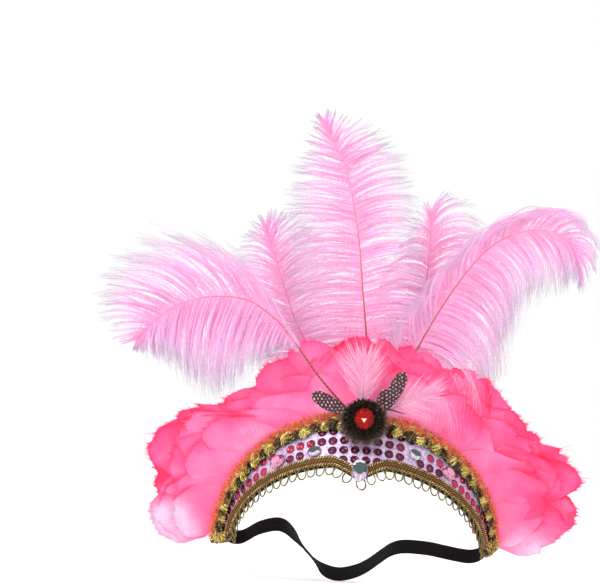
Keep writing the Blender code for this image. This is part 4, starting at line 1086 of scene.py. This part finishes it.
def ruff_web(phi, share, depth, width, habit, outward, place):
    """A feather's surface over outward 0 to 1 and place -1 to 1: broad and round at its end,
    cupped across, folded lengthwise and curled at its rim. Returns points and their map,
    whose second number is painted shade that deepens in the folds and creases and where the
    rim curls; it also deepens towards the rim, lightens towards the roots and pales low down
    at the rim."""
    phase = habit["phase"]
    spread = place * np.interp(outward, [0, 0.15, 0.4, 0.7, 0.88, 1.0], [0.40, 0.62, 0.94, 1.0, 0.93, 0.74])
    rim = habit["rim"] * (np.sin(place * 5.1 + phase[0]) + 0.6 * np.sin(place * 11.7 + phase[1]))
    notch = habit["depth"] * np.exp(-((place - habit["notch"]) / 0.13) ** 2)
    rounded = outward * share * habit["length"] * (0.97 - 0.15 * np.abs(place) ** 2.4 * outward ** 2
                                                   + (rim - notch) * outward ** 3)
    ahead = collar_point(phi + STEP_AHEAD, rounded, depth)
    scale = np.linalg.norm(ahead - collar_point(phi, rounded, depth), axis=-1) / STEP_AHEAD
    turn = spread * width / 2 / np.maximum(scale, 0.03) + habit["lean"] * outward
    fold = habit["fold"] * np.sin(place * habit["folds"] + phase[3] + 1.4 * outward) * outward ** 1.1
    crease = habit["crease"] * np.sin(place * habit["creases"] + phase[4]) * outward ** 2
    bent = np.clip((outward - 0.62) / 0.38, 0, 1) ** 2
    push = 1.1 * spread ** 2 + habit["tilt"] * spread * outward + fold + crease + habit["curl"] * bent
    # Painted shade: deeper in the folds and creases and where the rim curls; besides, darker towards the rim,
    # paler towards the roots and varying along the feather.
    fold_shade_and_tone = (0.40 + 0.10 * (fold + crease) / habit["fold"] * outward + 0.20 * share ** 3 * outward ** 4
            - 0.14 * (1 - outward) ** 2 + 0.12 * bent * np.clip(-habit["curl"] / 4, -0.3, 1)
            + 0.06 * np.sin(3 * outward + phase[5]))
    points = collar_point(phi + turn, rounded, depth + push * MM)
    low = np.clip((PALE_TOP - points[..., 2] - 0.04 * points[..., 0]) / PALE_REACH, 0, 1)
    low = low * np.clip((outward - 0.35) / 0.5, 0, 1)
    return points, own_map(outward * 70 - np.abs(place) * 45, fold_shade_and_tone * (1 - 0.95 * low))


# Painted light: a faint glow in the feathers' own colour lifts their shade.
ruff_dye = Finish("ruff_feather", Roughness=0.62, Sheen_Weight=0.2, Sheen_Roughness=0.5,
                  Specular_IOR_Level=0.2, Emission_Strength=0.10)
web_lines = (ruff_dye.map(0).wave(2.6) * 0.5
             + (ruff_dye.map(0) * (math.tau / 6.1) + ruff_dye.noise(90, 1) * 5).wave() * 0.5)
# Painted shade: the map's fold shade, with soft mottled shade from two noises, and faint lines along the
# barbs.
ruff_shade_and_tone = (ruff_dye.map(1) + (ruff_dye.noise(34) - 0.5) * 0.42 + (ruff_dye.noise(110) - 0.5) * 0.16
             + (web_lines - 0.5) * 0.05)
ruff_colour = ruff_dye.ramp(ruff_shade_and_tone, (0, 0.78, 0.6, 0.8), (0.12, 0.92, 0.4, 0.62),
                            (0.3, 0.98, 0.185, 0.4), (0.46, 0.98, 0.11, 0.3), (0.62, 0.97, 0.07, 0.225),
                            (0.8, 0.95, 0.035, 0.145), (1, 0.86, 0.022, 0.095))
ruff_dye.paint(Base_Color=ruff_colour, Emission_Color=ruff_colour,
               Normal=ruff_dye.bump(web_lines, 0.10 * MM, 0.4))
draw = np.random.default_rng(17)
grid_outward, grid_place = np.meshgrid(np.linspace(0, 1, VANE_ROWS), np.linspace(-1, 1, VANE_COLUMNS),
                                       indexing="ij")
web_faces = grid_faces(VANE_ROWS, VANE_COLUMNS)[0]
for layer, count, outermost, share, depth, widest in RUFF_LAYERS:
    spacing = math.radians(outermost) * 2 / (count - 1)
    for number, degrees in enumerate(np.linspace(-outermost, outermost, count)):
        parts, maps, faces, start = [], [], [], 0
        for aside in (-0.5, 0.5):
            habit = ruff_habit()
            web = (np.clip(math.radians(degrees) + aside * 0.5 * spacing, -PETAL_LIMIT, PETAL_LIMIT), share,
                   depth * MM + aside * (0.4 + 1.4 * share ** 3) * MM * (-1) ** number,
                   widest * MM * draw.uniform(0.95, 1.2), habit)
            points, threads = ruff_web(*web, grid_outward, grid_place)
            hair_place = np.sort(draw.uniform(-1, 1, RIM_HAIRS))
            hair_outward = 1 - 0.03 * draw.random(RIM_HAIRS)
            root, hair_map = ruff_web(*web, hair_outward, hair_place)
            inner, _ = ruff_web(*web, hair_outward - 0.05, hair_place * (1 - 0.03 * np.abs(hair_place)))
            phase = habit["phase"]
            tuft = (np.sin(hair_place * 37 + phase[0]) + np.sin(hair_place * 19 + phase[1])) / 2
            heading = unit(unit(root - inner) + draw.normal(0, 0.10, (RIM_HAIRS, 3)))
            low = np.clip((LONG_HAIRS_TOP - root[:, 2]) / LONG_HAIRS_REACH, 0, 1)
            stray = 1 + 1.8 * (draw.random(RIM_HAIRS) > STRAY_HAIRS)
            length = stray * draw.uniform(1.2, 5.0, RIM_HAIRS) * np.clip(0.8 + 0.7 * tuft, 0.25, 2)
            hairs = hair_ribbons(root, heading, length * (1 + low) * MM, RIM_HAIR_WIDTH, DOWNWARDS,
                                 draw.uniform(0, 0.3, RIM_HAIRS), 2)
            parts += [points.reshape(-1, 3), hairs.reshape(-1, 3)]
            maps += [threads.reshape(-1, 2), np.repeat(hair_map, RIM_HAIR_POINTS, axis=0)]
            faces += [start + web_faces, start + grid_outward.size + ribbon_faces(hairs)[0]]
            start += grid_outward.size + RIM_HAIRS * RIM_HAIR_POINTS
        new_piece(f"petal_bunch_{layer}_{number + 1}", np.concatenate(parts), faces, ruff_dye, "ruff_feather",
                  [f"ruff_feather_{layer}_{number + 1}"], np.concatenate(maps))


# Elastic strap: flat black woven elastic, 12.7 mm wide, sewn into both end bindings of the
# band and lying in loose bends between them.
STRAP_WIDTH, STRAP_THICKNESS, STRAP_HEIGHT = 12.7 * MM, 1.2 * MM, 7 * MM
STRAP_STATIONS, TWIST, TWIST_X, TWIST_REACH = 321, math.radians(37), -33, 9
STRAP_ROUTE = [  # x and distance behind the band's ends, in millimetres
    (-97, -1), (-94, 3.5), (-90, 5.6), (-86.4, 5.6), (-83, 4.2), (-79.5, 1), (-71.2, -7.6),
    (-59.6, -13.4), (-52, -11.6), (-44.2, -1.5), (-36, 13.5), (-28.8, 27.2), (-21, 38), (-9.6, 42.6),
    (2.9, 37.7), (12.2, 29.2), (21.2, 17), (29, 7.4), (38.5, 2.9), (55.5, 3.2), (68, 6), (78.1, 8.4),
    (86.5, 9.6), (91.5, 8.4), (95, 6), (98, 2)]
strap_right = np.array([1.0, 0, 0])
strap_slope = np.array([0, math.cos(LOWER_TILT), -math.sin(LOWER_TILT)])
strap_rise = np.array([0, math.sin(LOWER_TILT), math.cos(LOWER_TILT)])
strap_route = smooth_path(STRAP_ROUTE, STRAP_STATIONS) * MM
along = unit(np.gradient(strap_route, axis=0))
side = strap_slope * along[:, :1] - strap_right * along[:, 1:]
strap_centre = strap_right * strap_route[:, :1] + strap_slope * strap_route[:, 1:] + strap_rise * STRAP_HEIGHT
twist = column(TWIST * np.exp(-((strap_route[:, 0] / MM - TWIST_X) / TWIST_REACH) ** 2))
wide = strap_rise * np.cos(twist) + side * np.sin(twist)
side = side * np.cos(twist) - strap_rise * np.sin(twist)
outline = np.array([(-0.5, -0.46), (-0.28, -0.5), (0.28, -0.5), (0.5, -0.46), (0.5, -0.15), (0.5, 0.15),
                    (0.5, 0.46), (0.28, 0.5), (-0.28, 0.5), (-0.5, 0.46), (-0.5, 0.15), (-0.5, -0.15)])
rings = (strap_centre[:, None] + side[:, None] * STRAP_THICKNESS * outline[:, :1]
         + wide[:, None] * STRAP_WIDTH * outline[:, 1:])
elastic = Finish("black_elastic", Roughness=0.75, Specular_IOR_Level=0.15)
ribs = elastic.map(1).wave(0.85 * MM)
elastic_weave = ribs * 0.6 + elastic.map(0).wave(1.1 * MM) * ribs * 0.4
elastic.paint(Base_Color=elastic.mix(elastic_weave, (0.0025, 0.0025, 0.003), (0.012, 0.012, 0.014)),
              Normal=elastic.bump(elastic_weave, 0.18 * MM, 0.7))
webbing = tube_piece("elastic_webbing", rings, elastic, "black_elastic", ["elastic_strap"],
                     own_map(run_along(strap_route)[:, None], outline[:, 1] * STRAP_WIDTH))
